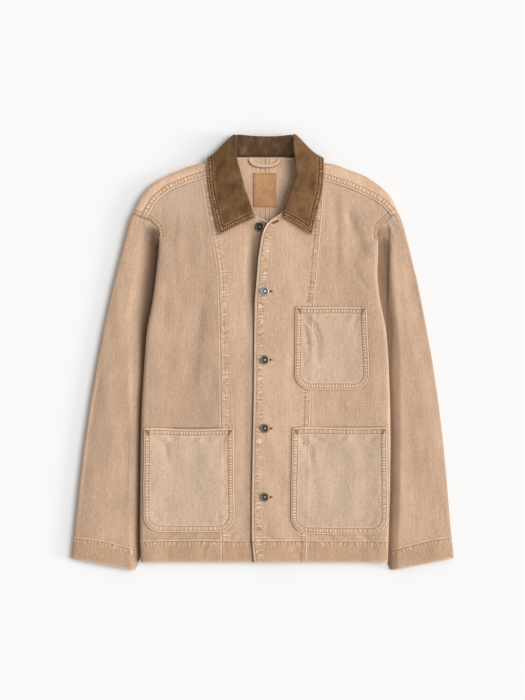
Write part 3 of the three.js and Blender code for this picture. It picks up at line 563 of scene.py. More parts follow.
# -------------- the cloth pieces
def side_front_mesh(side, pitch):
    """Side front: panel seam to armhole or side fold, turned under down to the side seam."""
    sign, corner = SIGN[side], SHOULDER_SEAM[side][-1]
    seam = lambda y: panel_seam(side, y) + SEAM_GAP / 2
    seam_top = np.array([seam(330.0), np.interp(seam(330.0), *SHOULDER_SEAM[side].T)])
    u = np.linspace(0, 1, int(150 / pitch) + 1)
    y = steps_of(HEM_Y, FOLD_END, pitch)
    height = front_height(side, sign * (body_edge(side, y) - 12), y)
    start, beyond = side_turn(side, y, height, (height - FRONT_TUCK_HEIGHT) / 2, 0, 0, 8, 12)
    face = grid_of(lerp(seam(y)[:, None], start, u), y[:, None], 0)

    t = np.linspace(0, 1, int((corner[1] + 60 - FOLD_END) / pitch) + 1)[1:]
    outer_path = np.array([*ARMHOLE[side][:3], corner]) + [-SEAM_GAP / 2, SEAM_GAP / 2]
    outer_path[0] = face[-1, -1, :2]
    outer_out, outer_y = path_at(outer_path, t)
    inner_y = lerp(FOLD_END, seam_top[1], t)
    inner_out = np.where(inner_y <= 312, seam(inner_y), lerp(
        seam(312.0), seam_top[0], (inner_y - 312) / (seam_top[1] - 312)))
    top_out = lerp(seam_top[0], corner[0], u)
    up_out = patch(inner_out, outer_out, top_out, (seam_top[0], corner[0]), u, t)
    up_y = patch(inner_y, outer_y, _shoulder[side](top_out), (seam_top[1], corner[1]), u, t)
    up_y -= t[:, None] * SEAM_GAP / 2
    mid = np.concatenate([np.hstack([face, beyond]), padded(grid_of(up_out, up_y, 0), beyond.shape[1])])
    low, columns = np.arange(len(mid))[:, None] < len(y), np.arange(mid.shape[1])
    has = np.ones((len(mid) - 1, len(columns) - 1), bool)
    has[len(y) - 1:, len(u) - 1:] = False

    x, y = sign * mid[..., 0], mid[..., 1]
    run, seam_reach = beside(seam_line(side), x, y)
    arm_run, arm_reach = beside(armhole_line(side), x, y)
    shoulder_run, shoulder_reach = beside(shoulder_line(side), x, y)
    on_arm = smooth(206, 212, y)
    hem, hem_lift, hem_crest = hem_marks(x, y, {"left": 11, "right": 12}[side])
    crest = 0.4 * puckers(run, seam_reach, 5.0, 21, 0.5, 7)
    arm_crest = puckers(arm_run, arm_reach, 8.5, 31, 1, 15) * on_arm
    shoulder_crest = 0.35 * puckers(shoulder_run, shoulder_reach, 9.0, 41, 1, 13) * smooth(180, 230, y)
    level = (front_height(side, x, y) + hem_lift + 0.5 * bell(seam_reach, 1.3, 1.3)
             + 0.5 * (crest + arm_crest + 0.7 * shoulder_crest) - 0.3 * bell(arm_reach, 7, 1.5) * on_arm)
    near_fold = (1 - smooth(len(u) - 1, len(u) - 5, columns)) * low
    fold_z = np.pad(height, (0, len(mid) - len(height)))[:, None]
    is_face = (columns < len(u)) | ~low
    mid[..., 2] = np.where(is_face, lerp(level, fold_z, near_fold), mid[..., 2])
    fold_gap = lerp(30, body_edge(side, y) - mid[..., 0], turned(y))
    marks = {
        "seam": mark(run, seam_reach, y > HEM_LINE_Y),
        "hem": hem,
        "armhole": mark(arm_run, arm_reach, on_arm),
        "crest": np.clip(hem_crest + crest + arm_crest, -1, 1),
        # Wear near the seam, the fold and the hem, plus painted light lifting the upper front towards the
        # shoulder, more on the right side.
        "worn": (worn_edge(seam_reach, np.where(is_face, fold_gap, 9), y - HEM_Y)
                 + {"right": 0.32, "left": 0.08}[side] * smooth(215, 280, y)),
        # Painted shade: thin dark lines round the pockets and along the shoulder seam.
        "painted_shade": painted_shade(np.minimum(pocket_shade_reach(side, x, y), shoulder_reach), 2.6, 0.6),
    }
    mid[..., 0] *= sign
    grain = mid[..., :2].copy()
    grain[..., 0] = np.where(is_face, mid[..., 0], 2 * sign * 232 - mid[..., 0])
    return cloth_mesh(f"side_front_cloth_{side}", mid, DENIM, grain, marks, has, flipped=side == "right")


def centre_front_mesh(side, pitch):
    """Centre front: front edge and neckline to the panel seam."""
    left = side == "left"
    u = np.linspace(0, 1, int(100 / pitch) + 1)
    y = np.concatenate([steps_of(HEM_Y, 206, pitch * 0.8), steps_of(206, 312, pitch * 0.6)[1:]])[:, None]
    out = lerp(SIGN[side] * _front[side](y), panel_seam(side, y) - SEAM_GAP / 2, u)
    top_out = lerp(SHOULDER_POINT, panel_seam(side, 330.0) - SEAM_GAP / 2, u)
    t = np.linspace(0, 1, 9)[1:, None]
    x = SIGN[side] * np.concatenate([out, lerp(out[-1], top_out, t)])
    y = np.concatenate([y + 0 * u, lerp(312.0, _shoulder[side](top_out) - SEAM_GAP / 2, t)])
    run, seam_reach = beside(seam_line(side), x, y)
    hem, hem_lift, hem_crest = hem_marks(x, y, 13 if left else 14)
    crest = puckers(run, seam_reach, 5.0, 51 if left else 52, 1.0, 17)
    lift = 0.5 * smooth(10.5, 8.0, seam_reach) - 0.3 * bell(seam_reach, 9.2, 1.2)
    edge_run, edge_reach = beside(front_edge_line(), x, y)
    close = pocket_shade_reach(side, x, y)
    marks = {"seam": mark(run, seam_reach, y > HEM_LINE_Y), "hem": hem}
    if left:
        low = smooth(246, 232, y)
        lift = lift + (0.35 * bell(edge_reach, 1.5, 1.5) - 0.4 * bell(edge_reach, 5, 1.2)) * low
        crest = crest + puckers(edge_run, edge_reach, 5.6, 61, 4.5, 20) * low
        marks["placket"] = mark(edge_run, edge_reach, low)
        # Painted shade: a thin dark line round the pockets sewn on this front.
        marks["painted_shade"] = painted_shade(close, 2.6, 0.6)
    else:
        dark = edge_reach < close              # in the painted shade of the other front's edge
        marks["painted_shade"] = painted_shade(np.where(dark, edge_reach, close), np.where(
            dark, 6 + 18 * smooth(60, 150, y), 2.6), np.where(dark, 0.9, 0.6))
        neck = np.linspace(231, 335, 60)
        edge_reach = beside(np.stack([_front["right"](neck), neck], 1), x, y)[1]
    z = lapped_height(side, x, y) + hem_lift + lift + 0.5 * crest
    marks["crest"] = np.clip(hem_crest + crest, -1, 1)
    marks["worn"] = worn_edge(seam_reach * 1.6, y - HEM_Y, edge_reach)
    return cloth_mesh(f"centre_front_cloth_{side}", grid_of(x, y, z), DENIM, None, marks, flipped=not left)


def back_mesh(side, pitch):
    """Back half: centre back seam to armhole or side fold, over the shoulder to its seam."""
    sign, half_gap, first = SIGN[side], SEAM_GAP / 2, SIGN[side] * CENTRE_BACK + SEAM_GAP / 2
    tip = SHOULDER_TOP[side][-1, 0]
    neck_share = (SHOULDER_POINT - first) / (tip - first)
    share = np.linspace(0, 1, int(165 / pitch) + 1)
    neck = np.linspace(0, 1, int(72 / pitch / 1.3) + 1)[:-1]
    n, u = len(neck), np.concatenate([neck * neck_share, lerp(neck_share, 1, share)])
    top, end = (np.stack([out, curve(out)], 1) for out, curve in (
        (lerp(SHOULDER_POINT, tip, share), rounded(SHOULDER_TOP[side], 14, 1)),
        (lerp(SHOULDER_POINT, SHOULDER_SEAM[side][-1, 0], share), _shoulder[side])))
    way = unit(top - end)
    low, high = (height(side, sign * top[:, 0], top[:, 1]) for height in (back_height, front_height))
    radius = (high - low) / 2
    start = top - way * (radius + DENIM / 2)[:, None]
    neck_line = np.stack([lerp(first, SHOULDER_POINT, neck), np.full(n, BACK_NECK_Y - SEAM_GAP)], 1)
    start_out, start_y = np.concatenate([neck_line, start]).T

    y = steps_of(HEM_Y, FOLD_END, pitch * 3)
    height = lerp(DENIM / 2 + 0.1, BACK_FOLD_HEIGHT, turned(y))[:, None]
    begin, beyond = side_turn(side, y, height, BACK_FOLD_RADIUS, DENIM + 3.4, 0.7, 6, 8)
    out = lerp(first, begin, u)
    blend = smooth(len(u) - 1, len(u) - 6, np.arange(len(u)))
    face = grid_of(out, y[:, None], lerp(height, back_height(side, sign * out, y[:, None]), blend))
    t = np.linspace(0, 1, int(130 / pitch / 1.5) + 1)[1:]
    outer_path = np.array([*ARMHOLE[side][:4], start[-1]])
    outer_path[1:-1] += [-half_gap, half_gap]
    outer_path[0] = face[-1, -1, :2]
    outer_out, outer_y = path_at(outer_path, t)
    up_out = patch(np.full(len(t), first), outer_out, start_out, start_out[[0, -1]], u, t)
    up_y = patch(lerp(FOLD_END, start_y[0], t), outer_y, start_y, start_y[[0, -1]], u, t)
    up = grid_of(up_out, up_y, back_height(side, sign * up_out, up_y))

    arc = np.linspace(0, 1, 9)[1:, None]
    swing = radius * np.sin(np.pi * arc)
    rolled = raised(start + way * swing[..., None], low + radius * (1 - np.cos(np.pi * arc)))
    s = np.linspace(0, 1, int(52 / pitch * 1.3) + 1)[1:, None]
    strip = lerp(start, end + half_gap, s[..., None])
    x, strip_y = sign * strip[..., 0], strip[..., 1]
    run, from_seam = beside(shoulder_line(side), x, strip_y)
    arm_run, from_arm = beside(armhole_line(side), x, strip_y)
    crest = 0.8 * (puckers(run, from_seam, 9.0, 71, 10.5, 24) + puckers(arm_run, from_arm, 8.5, 72, 8, 20))
    lift = (0.7 * smooth(12.5, 10.5, from_seam) - 0.35 * bell(from_seam, 10.6, 1.2)
            + 0.4 * smooth(9.5, 7.5, from_arm) + 0.45 * np.clip(crest, -1, 1)
            + 0.8 * noise(strip[..., 0], strip_y, 24, 7)) * smooth(0, 0.25, s)
    over = np.concatenate([rolled, raised(strip, front_height(side, x, strip_y) + lift)])
    spare = grid_of(neck_line[:, 0], neck_line[:, 1] + np.concatenate([arc, 1 + s]),
                    back_height(side, sign * neck_line[:, 0], neck_line[:, 1]))
    mid = np.concatenate([np.hstack([face, beyond]),
                          padded(np.concatenate([up, np.hstack([spare, over])]), beyond.shape[1])])
    fold_row = len(y) + len(t)
    rows, columns = np.arange(len(mid))[:, None], np.arange(mid.shape[1])
    has = np.ones((len(mid) - 1, len(columns) - 1), bool)
    has[len(y) - 1:, len(u) - 1:] = False
    has[fold_row - 1:, :n] = False

    x, place_y = sign * mid[..., 0], mid[..., 1]
    run, from_seam = beside(shoulder_line(side), x, place_y)
    arm_run, from_arm = beside(armhole_line(side), x, place_y)
    hem, hem_lift, hem_crest = hem_marks(x, place_y, 15)
    mid[..., 2] += np.abs(hem_lift) * 0.4 * (rows < len(y)) * (columns < len(u) - 8)
    on_top = (rows >= fold_row + 4) & (columns >= n)
    inside = (rows < fold_row) & (columns < len(u))
    crest = on_top * np.clip(puckers(run, from_seam, 9.0, 71, 10.5, 24)
                             + puckers(arm_run, from_arm, 8.5, 72, 8, 20), -1, 1)
    marks = {
        "ladder": mark(run, from_seam, on_top),
        "armhole": mark(arm_run, from_arm, on_top),
        "hem": hem,
        "seam": mark(place_y, np.abs(mid[..., 0] - first), inside),
        "crest": np.clip(crest + hem_crest, -1, 1),
        "worn": worn_edge(np.where(on_top, from_seam, 9), np.where(on_top, from_arm, 9)),
    }
    if side == "left":                         # painted shade under the collar's leaf on the inside of the back, and on the rounded fold over the shoulder
        turn = np.pi * (rows - fold_row + 1) / 8
        turning = (turn > 0) & (turn < np.pi) & (columns >= n)
        marks["painted_shade"] = (
            painted_shade(np.interp(place_y, *COLLAR_SHADE.T) - mid[..., 0], 34.0,
                   0.42 * inside * smooth(236, 262, place_y)),
            painted_shade(0 * x, 5.0, 0.4 * turning * np.sin(turn)))
    mid[..., 0] *= sign
    grain = mid[..., :2].copy()
    grain[..., 1] = np.where(rows >= fold_row, 720 - grain[..., 1], grain[..., 1])
    return cloth_mesh(f"back_cloth_{side}", mid, DENIM, grain, marks, has, flipped=side == "right")


def sleeve_mesh(side, pitch):
    """Sleeve: one flattened tube from the armhole to the cuff, pressed flat under the body."""
    sign, column = SIGN[side], SIDES.index(side)
    under = lambda y: (body_edge(side, y) - _tuck(y), y)
    mouth = np.array([*ARMHOLE[side][::-1], (body_edge(side, 200) + 0.6, 200),
                      (body_edge(side, 190) - 3, 184), under(120), under(10)]) + [-0.9, 0.6]
    s = np.linspace(0, 1, int(650 / pitch) + 1)[:, None]
    q_low, q_high = np.linspace(1, 0, 16), np.linspace(0, 1, int(150 / pitch) + 1)
    outer, inner = (
        np.hstack([np.where(s == 0, out, edge(lerp(y, cuff, s), column)), lerp(y, cuff, s)])
        for (out, y), edge, cuff in ((mouth[0], _outer, CUFF_Y[0]), (mouth[-1], _inner, CUFF_Y[1])))
    way = unit(outer - inner)
    lead = unit(lerp(unit(mouth[0] - mouth[1]), way, smooth(0, 0.16, s)))

    def upper(out, y, q):
        """Height of the upper layer, and how free of the body it is."""
        high_up = smooth(-160, 150, y)
        near, far = {"right": (10, 50), "left": (4, 27)}[side]
        free = smooth(lerp(2, near, high_up), lerp(20, far, high_up), out - body_edge(side, y))
        rest = lerp(SLEEVE_FLAT, SLEEVE_HEIGHT, free)
        dive = lerp(FRONT_HEIGHT + SHOULDER_RISE * smooth(180, 320, y), rest, turned(y))
        return (lerp(dive, rest, smooth(0, 0.25, s)) - 2 * (1 - smooth(0, 0.25, q)) * smooth(0, 0.2, s)
                - 1.5 * (1 - smooth(0, 0.007, s))), free

    outer_radius = (upper(outer[:, :1], outer[:, 1:], 0.0)[0] - DENIM / 2) / 2
    inner_radius = (SLEEVE_FLAT - DENIM / 2) / 2
    centre = outer - lead * (outer_radius + DENIM / 2)

    def plan(q):
        """Places over the sleeve at each share q of the way from its outer fold to its inner one."""
        q = q[:, None]
        bump = np.hstack(path_at(mouth, q)) - lerp(mouth[0], mouth[-1], q)
        return (lerp(outer[:, None], inner[:, None], q) + ((1 - s) ** 4)[..., None] * bump
                + np.clip(1 - q * 8, 0, 1) * (centre - outer)[:, None])

    angle = np.pi * np.linspace(0, 1, 9)[1:-1]
    arc = centre[:, None] + (lead * outer_radius)[:, None] * np.sin(angle)[:, None]
    high = plan(q_high)
    x, y = sign * high[..., 0], high[..., 1]
    z, free = upper(high[..., 0], y, q_high)
    arm_run, arm_reach = beside(armhole_line(side), x, y)
    cuff_run, cuff_gap = along(cuff_line(side), x, y)
    downwards = np.sign(cuff_gap[-1, len(q_high) // 2])
    down = cuff_gap * downwards
    arm_crest = puckers(arm_run, arm_reach, 10, 82, 1, 20) * smooth(200, 214, y)
    ease = smooth(0, 0.04, q_high) * (1 - smooth(0.985, 1, q_high)) * smooth(0, 0.006, s)
    lift = (0.5 * smooth(-1.5, 1.5, down) - 0.35 * bell(down, 0, 1.6)
            + 0.5 * puckers(cuff_run, down, 5.4, 81, -2, 15, lean=0.4) + 0.6 * arm_crest
            + 0.4 * noise(x, y * 0.5, 58, 17) + 0.12 * noise(x, y * 0.6, 20, 18)
            - fold_depth(SLEEVE_FOLDS[side], x, y)) * ease * smooth(0.0, 0.6, free + 1 - 0.85 * turned(y))
    high = raised(high, z + lift)
    high[:, -1, 2] = SLEEVE_FLAT
    inner_arc = raised(high[:, -1:, :2] - (way * inner_radius)[:, None], (SLEEVE_FLAT + DENIM / 2) / 2)
    mid = np.hstack([raised(plan(q_low), DENIM / 2),
                     raised(arc, DENIM / 2 + outer_radius * (1 - np.cos(angle))), high, inner_arc])
    first_high = len(q_low) + len(angle)

    x, y = sign * mid[..., 0], mid[..., 1]
    arm_run, arm_reach = beside(armhole_line(side), x, y)
    cuff_run, cuff_gap = along(cuff_line(side), x, y)
    crest = puckers(cuff_run, cuff_gap * downwards, 5.4, 81, -2, 15, lean=0.4)
    crest[:, first_high:-1] += arm_crest
    end_reach = beside(np.stack([outer[-1], inner[-1]]) * [sign, 1], x, y)[1]
    # Painted shade on the sleeve where it dives under the body's edge and along the armhole seam.
    high_up = smooth(-60, 140, y)
    out = np.maximum(mid[..., 0] - body_edge(side, y), 0)
    if side == "right":
        flat, width, depth, line = lerp(2, 10, high_up), lerp(11, 24, high_up), 0.92, 0
    else:
        flat, width, depth = lerp(3, 15, high_up), lerp(8, 9, high_up), lerp(0.7, 0.46, high_up)
        line = 0.8 * bell(out, lerp(1, 20, smooth(10, 150, y)), 3.2)
    valley_shade = np.maximum(depth * (1 - smooth(0, 1, (out - flat) / width)), line)
    valley_shade = np.maximum(valley_shade * (1 - smooth(222, 242, y)), 0.7 * (1 - smooth(0, 4, arm_reach)))
    marks = {
        "hem": mark(cuff_run, cuff_gap * downwards),
        "armhole": mark(arm_run, arm_reach, smooth(200, 212, y)),
        "crest": np.clip(crest, -1, 1),
        "worn": worn_edge(end_reach, np.where(y > 205, arm_reach, 9)),
        "painted_shade": painted_shade(0 * y, 10.0, valley_shade),
    }
    # Painted shade on the left sleeve's outer rounded fold.
    if side == "left":
        rim = np.maximum(outer[:, :1] - mid[..., 0], 0)
        marks["painted_shade"] = np.where(rim[..., None] < 5, painted_shade(rim, 5.0, 0.42), marks["painted_shade"])
    girth = runs_of(np.hstack([mid, mid[:, :1]]), 1)
    length = measured(mid[:, len(q_low) + 10])[1]
    grain = grid_of(girth - girth[:, first_high, None] + 300 * column, -length[:, None], 0)[..., :2]
    mid[..., 0] *= sign
    return cloth_mesh(f"sleeve_cloth_{side}", mid, DENIM, grain, marks, ring=True, flipped=side == "left")


def catmull(points, counts):
    """A smooth curve through the rows of points, with the given number of steps in each span."""
    before, after = 2 * points[0] - points[1], 2 * points[-1] - points[-2]
    full = np.concatenate([before[None], points, after[None]])
    made = []
    for k, count in enumerate(counts):
        p0, p1, p2, p3 = full[k:k + 4]
        t = np.linspace(0, 1, count + 1)[:-1].reshape(-1, *[1] * (points.ndim - 1))
        made.append(0.5 * (2 * p1 + (p2 - p0) * t + (2 * p0 - 5 * p1 + 4 * p2 - p3) * t ** 2
                           + (3 * p1 - p0 - 3 * p2 + p3) * t ** 3))
    return np.concatenate([*made, points[-1:]])


def collar_section(side, section):
    """One section of the collar: neck seam, up the stand, round the roll, down the fall."""
    *places, turn = section
    start, top, middle, outer = np.reshape(places, (4, 3)) * [SIGN[side], 1, 1]
    outward = unit(np.array([*(start[:2] - NECK_CENTRE), 0]))
    angle, up = math.radians(turn), np.array([0, 0, 1.0])
    crest = up * math.cos(angle) - outward * math.sin(angle)
    over = up * math.sin(angle) + outward * math.cos(angle)
    turns = np.linspace(-np.pi / 2, np.pi / 2, 7)[:, None]
    rolled = top + crest * ROLL_RADIUS * (np.cos(turns) - 1) + over * ROLL_RADIUS * np.sin(turns)
    fall = catmull(np.array([rolled[-1], middle, outer]), [14, 14])[1:]
    return np.concatenate([lerp(start, rolled[0], np.linspace(0, 1, 12)[:-1, None]), rolled, fall])


def collar_grid():
    rows = np.array([*[collar_section("right", section) for section in COLLAR["right"]],
                     *[collar_section("left", section) for section in [COLLAR_BACK, *COLLAR["left"][::-1]]]])
    hops = np.linalg.norm(np.diff(rows[:, -1], axis=0), axis=1)
    grid = catmull(rows, [max(int(h / 2.4), 8) for h in hops])
    grid[..., 2] = np.maximum(grid[..., 2], CORDUROY / 2)
    return grid


def collar_marks(grid):
    """Distances over the cloth from the neck seam, the outer edge and the two front ends."""
    from_neck, from_start = runs_of(grid, 1), runs_of(grid, 0)
    return from_neck, from_neck[:, -1:] - from_neck, from_start, from_start[-1:] - from_start


def upwards(grid):
    """The normals of the collar's grid on the side that faces up over the fall."""
    normals = unit(np.cross(np.gradient(grid, axis=1), np.gradient(grid, axis=0)))
    return normals * np.sign(normals[6, -8, 2])


def lifted_collar():
    """The collar's grid with the relief of its seams and of the soft cloth, and its marks."""
    grid = collar_grid()
    from_neck, from_edge, from_start, from_end = collar_marks(grid)
    columns = np.arange(grid.shape[1])
    end_gap = np.minimum(from_start, from_end)
    rim = np.minimum(from_edge, end_gap + 60 * (columns < ROLL_COLUMN))
    perimeter = np.where(from_edge < end_gap, from_start[:, -1:] + 300, from_neck)
    crest = puckers(perimeter, rim, 3.6, 91, 0, 10)
    low_crest = puckers(from_start, from_neck, 6, 92, -2, 12) * 0.3
    lift = (0.35 * crest + 0.3 * low_crest - 0.35 * bell(rim, 3.4, 1.0) - 0.35 * bell(rim, 7.8, 1.2)
            + 0.35 * noise(from_start, from_neck, 26, 93) * smooth(0, 10, rim)
            + 0.9 * noise(from_start, from_neck, 48, 94) * smooth(2, 22, rim) * smooth(0, 8, from_neck))
    grid = grid + upwards(grid) * lift[..., None]
    grid[..., 2] = np.maximum(grid[..., 2], CORDUROY / 2 + 0.05)
    return grid, {
        "ladder": mark(perimeter, rim),
        "crest": np.clip(crest + low_crest, -1, 1),
        "worn": worn_edge(rim),
        "stand": mark(from_start, from_neck, columns <= ROLL_COLUMN),
        "leaf": (grid[..., 0] > 0) * 1.0,
    }


def collar_mesh():
    grid, marks = lifted_collar()
    return cloth_mesh("collar_cloth", grid, CORDUROY, None, marks)


def under_collar_mesh():
    grid = collar_grid()
    drop = CORDUROY / 2 + SEAM_GAP + LINING / 2
    moved = (grid - upwards(grid) * drop)[::2, FALL_COLUMN::2]
    moved[..., 2] = np.maximum(moved[..., 2], LINING / 2)
    return cloth_mesh("under_collar_cloth", moved, LINING)


def wavy(x, y, waves=0.9):
    """A place moved a little, as the washed pocket edges are."""
    return x + waves * noise(x * 0.3, y, 41, 131), y + waves * noise(x, y * 0.3, 47, 132)


def pocket_outline(name, inset=0.0, waves=0.9):
    """Down one side of a pocket, round the bottom and up the other, some way in from its edge."""
    shape = POCKETS[name]
    radius = shape["radius"] - inset
    (m0, m1), (b0, b1), top, bottom = shape["mouth"], shape["base"], shape["top"], shape["bottom"] + inset
    angle = np.linspace(0, np.pi / 2, 14)
    far, near = radius * (1 - np.cos(angle)), radius * (1 - np.sin(angle))
    path, runs = measured([(m0 + inset, top), *zip(b0 + inset + far, bottom + near),
                           *zip(b1 - inset - near, bottom + far), (m1 - inset, top)])
    at = steps_of(0, runs[-1], 4)
    return np.stack(wavy(*(np.interp(at, runs, path[:, a]) for a in (0, 1)), waves), 1)


def pocket_mesh(name, pitch):
    """A patch pocket lying on the front, with round lower corners."""
    shape = POCKETS[name]
    side, radius, top, bottom = shape["side"], shape["radius"], shape["top"], shape["bottom"]
    phi = np.linspace(0, np.pi / 2, int(radius * 1.5 / pitch) + 1)
    rise = np.concatenate([radius * (1 - np.cos(phi)), steps_of(radius, top - bottom, pitch)[1:]])
    inset = np.where(rise < radius, radius - np.sqrt(np.maximum(radius ** 2 - (radius - rise) ** 2, 0)), 0)
    inset[0] = radius
    share = rise / (top - bottom)
    left = lerp(shape["base"][0], shape["mouth"][0], share) + inset
    right = lerp(shape["base"][1], shape["mouth"][1], share) - inset
    u = np.linspace(0, 1, int((right - left).max() / pitch) + 1)
    x = lerp(left[:, None], right[:, None], u)
    dip = shape["dip"] * np.sin(np.pi * u) ** 2
    y = (bottom + rise)[:, None] - dip * smooth(0.7, 1, share)[:, None]
    run, rim = beside(pocket_outline(name, waves=0.0), x, y)
    mouth_run, mouth_gap = along([(left[-1], top), (right[-1], top)], x, y)[0], top - y - dip
    seam_run, seam_gap = along(seam_line(side), x, y)
    show = smooth(8, 14, rim) * smooth(8, 14, mouth_gap)
    through = puckers(seam_run, seam_gap * SIGN[side], 5.0, 51, 1.5, 15) * show
    crest = (puckers(run, rim, 5.0, 101, 11, 22) * 0.7
             + puckers(mouth_run, mouth_gap, 9.0, 102, 11, 30, lean=0.6) * 1.3 + 0.5 * through)
    lift = (0.55 * smooth(11.5, 9.5, np.minimum(rim, mouth_gap)) - 0.4 * bell(rim, 2.4, 1.1)
            - 0.4 * bell(rim, 9.6, 1.1) + 0.5 * crest + 0.45 * bell(seam_gap, 0, 2.6) * show
            + 0.35 * through + 0.5 * noise(x, y, 42, 111) * show + 0.12 * noise(x, y, 15, 112) * show
            - fold_depth(shape["folds"], x, y) * smooth(6, 14, np.minimum(rim, mouth_gap)))
    z = lapped_height(side, x, y) + DENIM + SEAM_GAP + 0.25 + lift
    marks = {
        "ladder": mark(run, rim),
        "mouth": mark(mouth_run, mouth_gap),
        "crest": np.clip(crest, -1, 1),
        "worn": worn_edge(rim, mouth_gap),
    }
    return cloth_mesh(f"{name}_cloth", grid_of(*wavy(x, y), z), DENIM, None, marks)


def label_mesh():
    (left, right), (low, high) = LABEL_X, LABEL_Y
    x, y = np.broadcast_arrays(np.linspace(left, right, 42), np.linspace(low, high, 62)[:, None])
    rim = np.minimum(np.minimum(x - left, right - x), np.minimum(y - low, high - y))
    z = (back_height("left", np.abs(x), y) + DENIM / 2 + 0.45 + LINING / 2
         + 0.35 * noise(x, y, 18, 121) * smooth(0, 6, rim) - 0.25 * bell(rim, 2.0, 0.7))
    return cloth_mesh("neck_label_patch", grid_of(x, y, z), LINING, None, {"worn": worn_edge(rim)})


def hanger_loop_mesh():
    """A flat tape with both ends sewn into the back neck seam, its middle hanging a little free."""
    path = table((-24, 360), (-20.5, 352.5), (-12, 347.4), (4, 345.6), (20, 347.4), (28.5, 352.5), (32, 360))
    line, run = measured(catmull(path, [10] * 6))
    way = unit(np.gradient(line, axis=0))
    t, v = np.linspace(0, 1, len(line)), np.linspace(-1, 1, 9)[:, None]
    reach = 3.3 * v * (1 - 0.12 * np.sin(np.pi * t))
    z = (NECK_LIFT + DENIM + 0.4 + DENIM / 2 + 2.6 * np.sin(np.pi * t) + 0.35 * (1 - v ** 2)
         - 0.5 * np.abs(v) ** 3)
    rim = 3.3 * (1 - np.abs(v)) + 0 * run
    # Painted shadow along the loop's lower edge.
    marks = {"ladder": mark(run, rim), "worn": worn_edge(rim), "painted_shade": painted_shade(rim, 1.3, 0.85 * (v < 0))}
    mid = grid_of(line[:, 0] - way[:, 1] * reach, line[:, 1] + way[:, 0] * reach, z)
    return cloth_mesh("hanger_loop_tape", mid, DENIM, grid_of(run, v * 3.3, 0)[..., :2], marks)


# -------------- node trees
def joining(operation, swapped=False):
    def method(self, other):
        return self.net.math(operation, *((other, self) if swapped else (self, other)))
    return method


class Wire:
    """A node's output. Arithmetic on it adds Math nodes."""

    def __init__(self, net, socket):
        self.net, self.socket = net, socket

    __add__ = __radd__ = joining("ADD")
    __mul__ = __rmul__ = joining("MULTIPLY")
    __sub__, __rsub__ = joining("SUBTRACT"), joining("SUBTRACT", True)
    __truediv__ = joining("DIVIDE")


class Net:
    """Adds nodes to one tree, with their settings and inputs in one call."""

    def __init__(self, tree):
        self.tree = tree

    def add(self, kind, *values, named=None, **settings):
        """A new node, with its inputs filled in order and by name."""
        node = self.tree.nodes.new(kind)
        for key, value in settings.items():
            setattr(node, key, value)
        for k, value in enumerate(values):
            self.put(node.inputs[k], value)
        for key, value in (named or {}).items():
            self.put(next(s for s in node.inputs if s.name == key and s.enabled), value)
        return node

    def put(self, socket, value):
        if isinstance(value, Wire):
            self.tree.links.new(value.socket, socket)
        elif socket.type == "RGBA":
            socket.default_value = (*value[:3], 1.0)
        else:
            socket.default_value = value

    def wire(self, kind, *values, **settings):
        """The first live output of a new node."""
        node = self.add(kind, *values, **settings)
        return Wire(self, next(s for s in node.outputs if s.enabled))

    def math(self, operation, *values, clamp=False):
        return self.wire("ShaderNodeMath", *values, operation=operation, use_clamp=clamp)

    def highest(self, *masks):
        total = 0.0
        for value in masks:
            total = self.math("MAXIMUM", total, value)
        return total

    def ramp(self, value, start, end, low=0.0, high=1.0):
        """Goes smoothly from low to high as the value goes from start to end."""
        return self.wire("ShaderNodeMapRange", value, start, end, low, high, interpolation_type="SMOOTHSTEP")

    def near(self, value, middle, half):
        """1 where the value is at the middle, falling to 0 at half away."""
        return self.ramp(self.math("ABSOLUTE", value - middle), 0.0, half, 1.0, 0.0)

    def wave(self, turns):
        return self.math("SINE", turns * (2 * math.pi))

    def mix(self, factor, first, second, blend="MIX"):
        return self.wire("ShaderNodeMix", data_type="RGBA", blend_type=blend,
                         named={"Factor": factor, "A": first, "B": second})

    def noise(self, vector, scale, detail=2.0, rough=0.5, stretch=(1, 1, 1)):
        moved = self.wire("ShaderNodeVectorMath", vector, stretch, operation="MULTIPLY")
        return self.wire("ShaderNodeTexNoise", named={
            "Vector": moved, "Scale": scale, "Detail": detail, "Roughness": rough})

    def uneven(self, mark, scale, stretch, *limits):
        """A patchy value along a mark."""
        return self.ramp(self.noise(mark, scale, 2.0, 0.6, (1, stretch, 0)), *limits)

    def beat(self, mark, run, pitch, scale, stretch, wander):
        """A wave along a seam that wanders off its even pitch."""
        stray = self.noise(mark, scale, 2.0, 0.5, (1, stretch, 0)) - 0.5
        return self.wave((run + stray * wander) / pitch)

    def attribute(self, name, output="Vector"):
        return Wire(self, self.add("ShaderNodeAttribute", attribute_name=name).outputs[output])

    def split(self, vector):
        return [Wire(self, s) for s in self.add("ShaderNodeSeparateXYZ", vector).outputs]

    def grey(self, value):
        return self.wire("ShaderNodeCombineXYZ", value, value, value)

    def group(self, tree, **values):
        """The outputs, by name, of a group with these inputs."""
        node = self.add("ShaderNodeGroup", node_tree=tree)
        for key, value in values.items():
            self.put(node.inputs[key.replace("_", " ")], value)
        return {s.name: Wire(self, s) for s in node.outputs}

    def result(self, height, on, **masks):
        """A group's outputs: its height and its masks, where the seam's mark counts."""
        self.put(self.end.inputs["Height"], height * on)
        for name, mask in masks.items():
            self.put(self.end.inputs[name], self.math("MULTIPLY", mask, on, clamp=True))


FLOAT, VECTOR, GEOMETRY = "NodeSocketFloat", "NodeSocketVector", "NodeSocketGeometry"


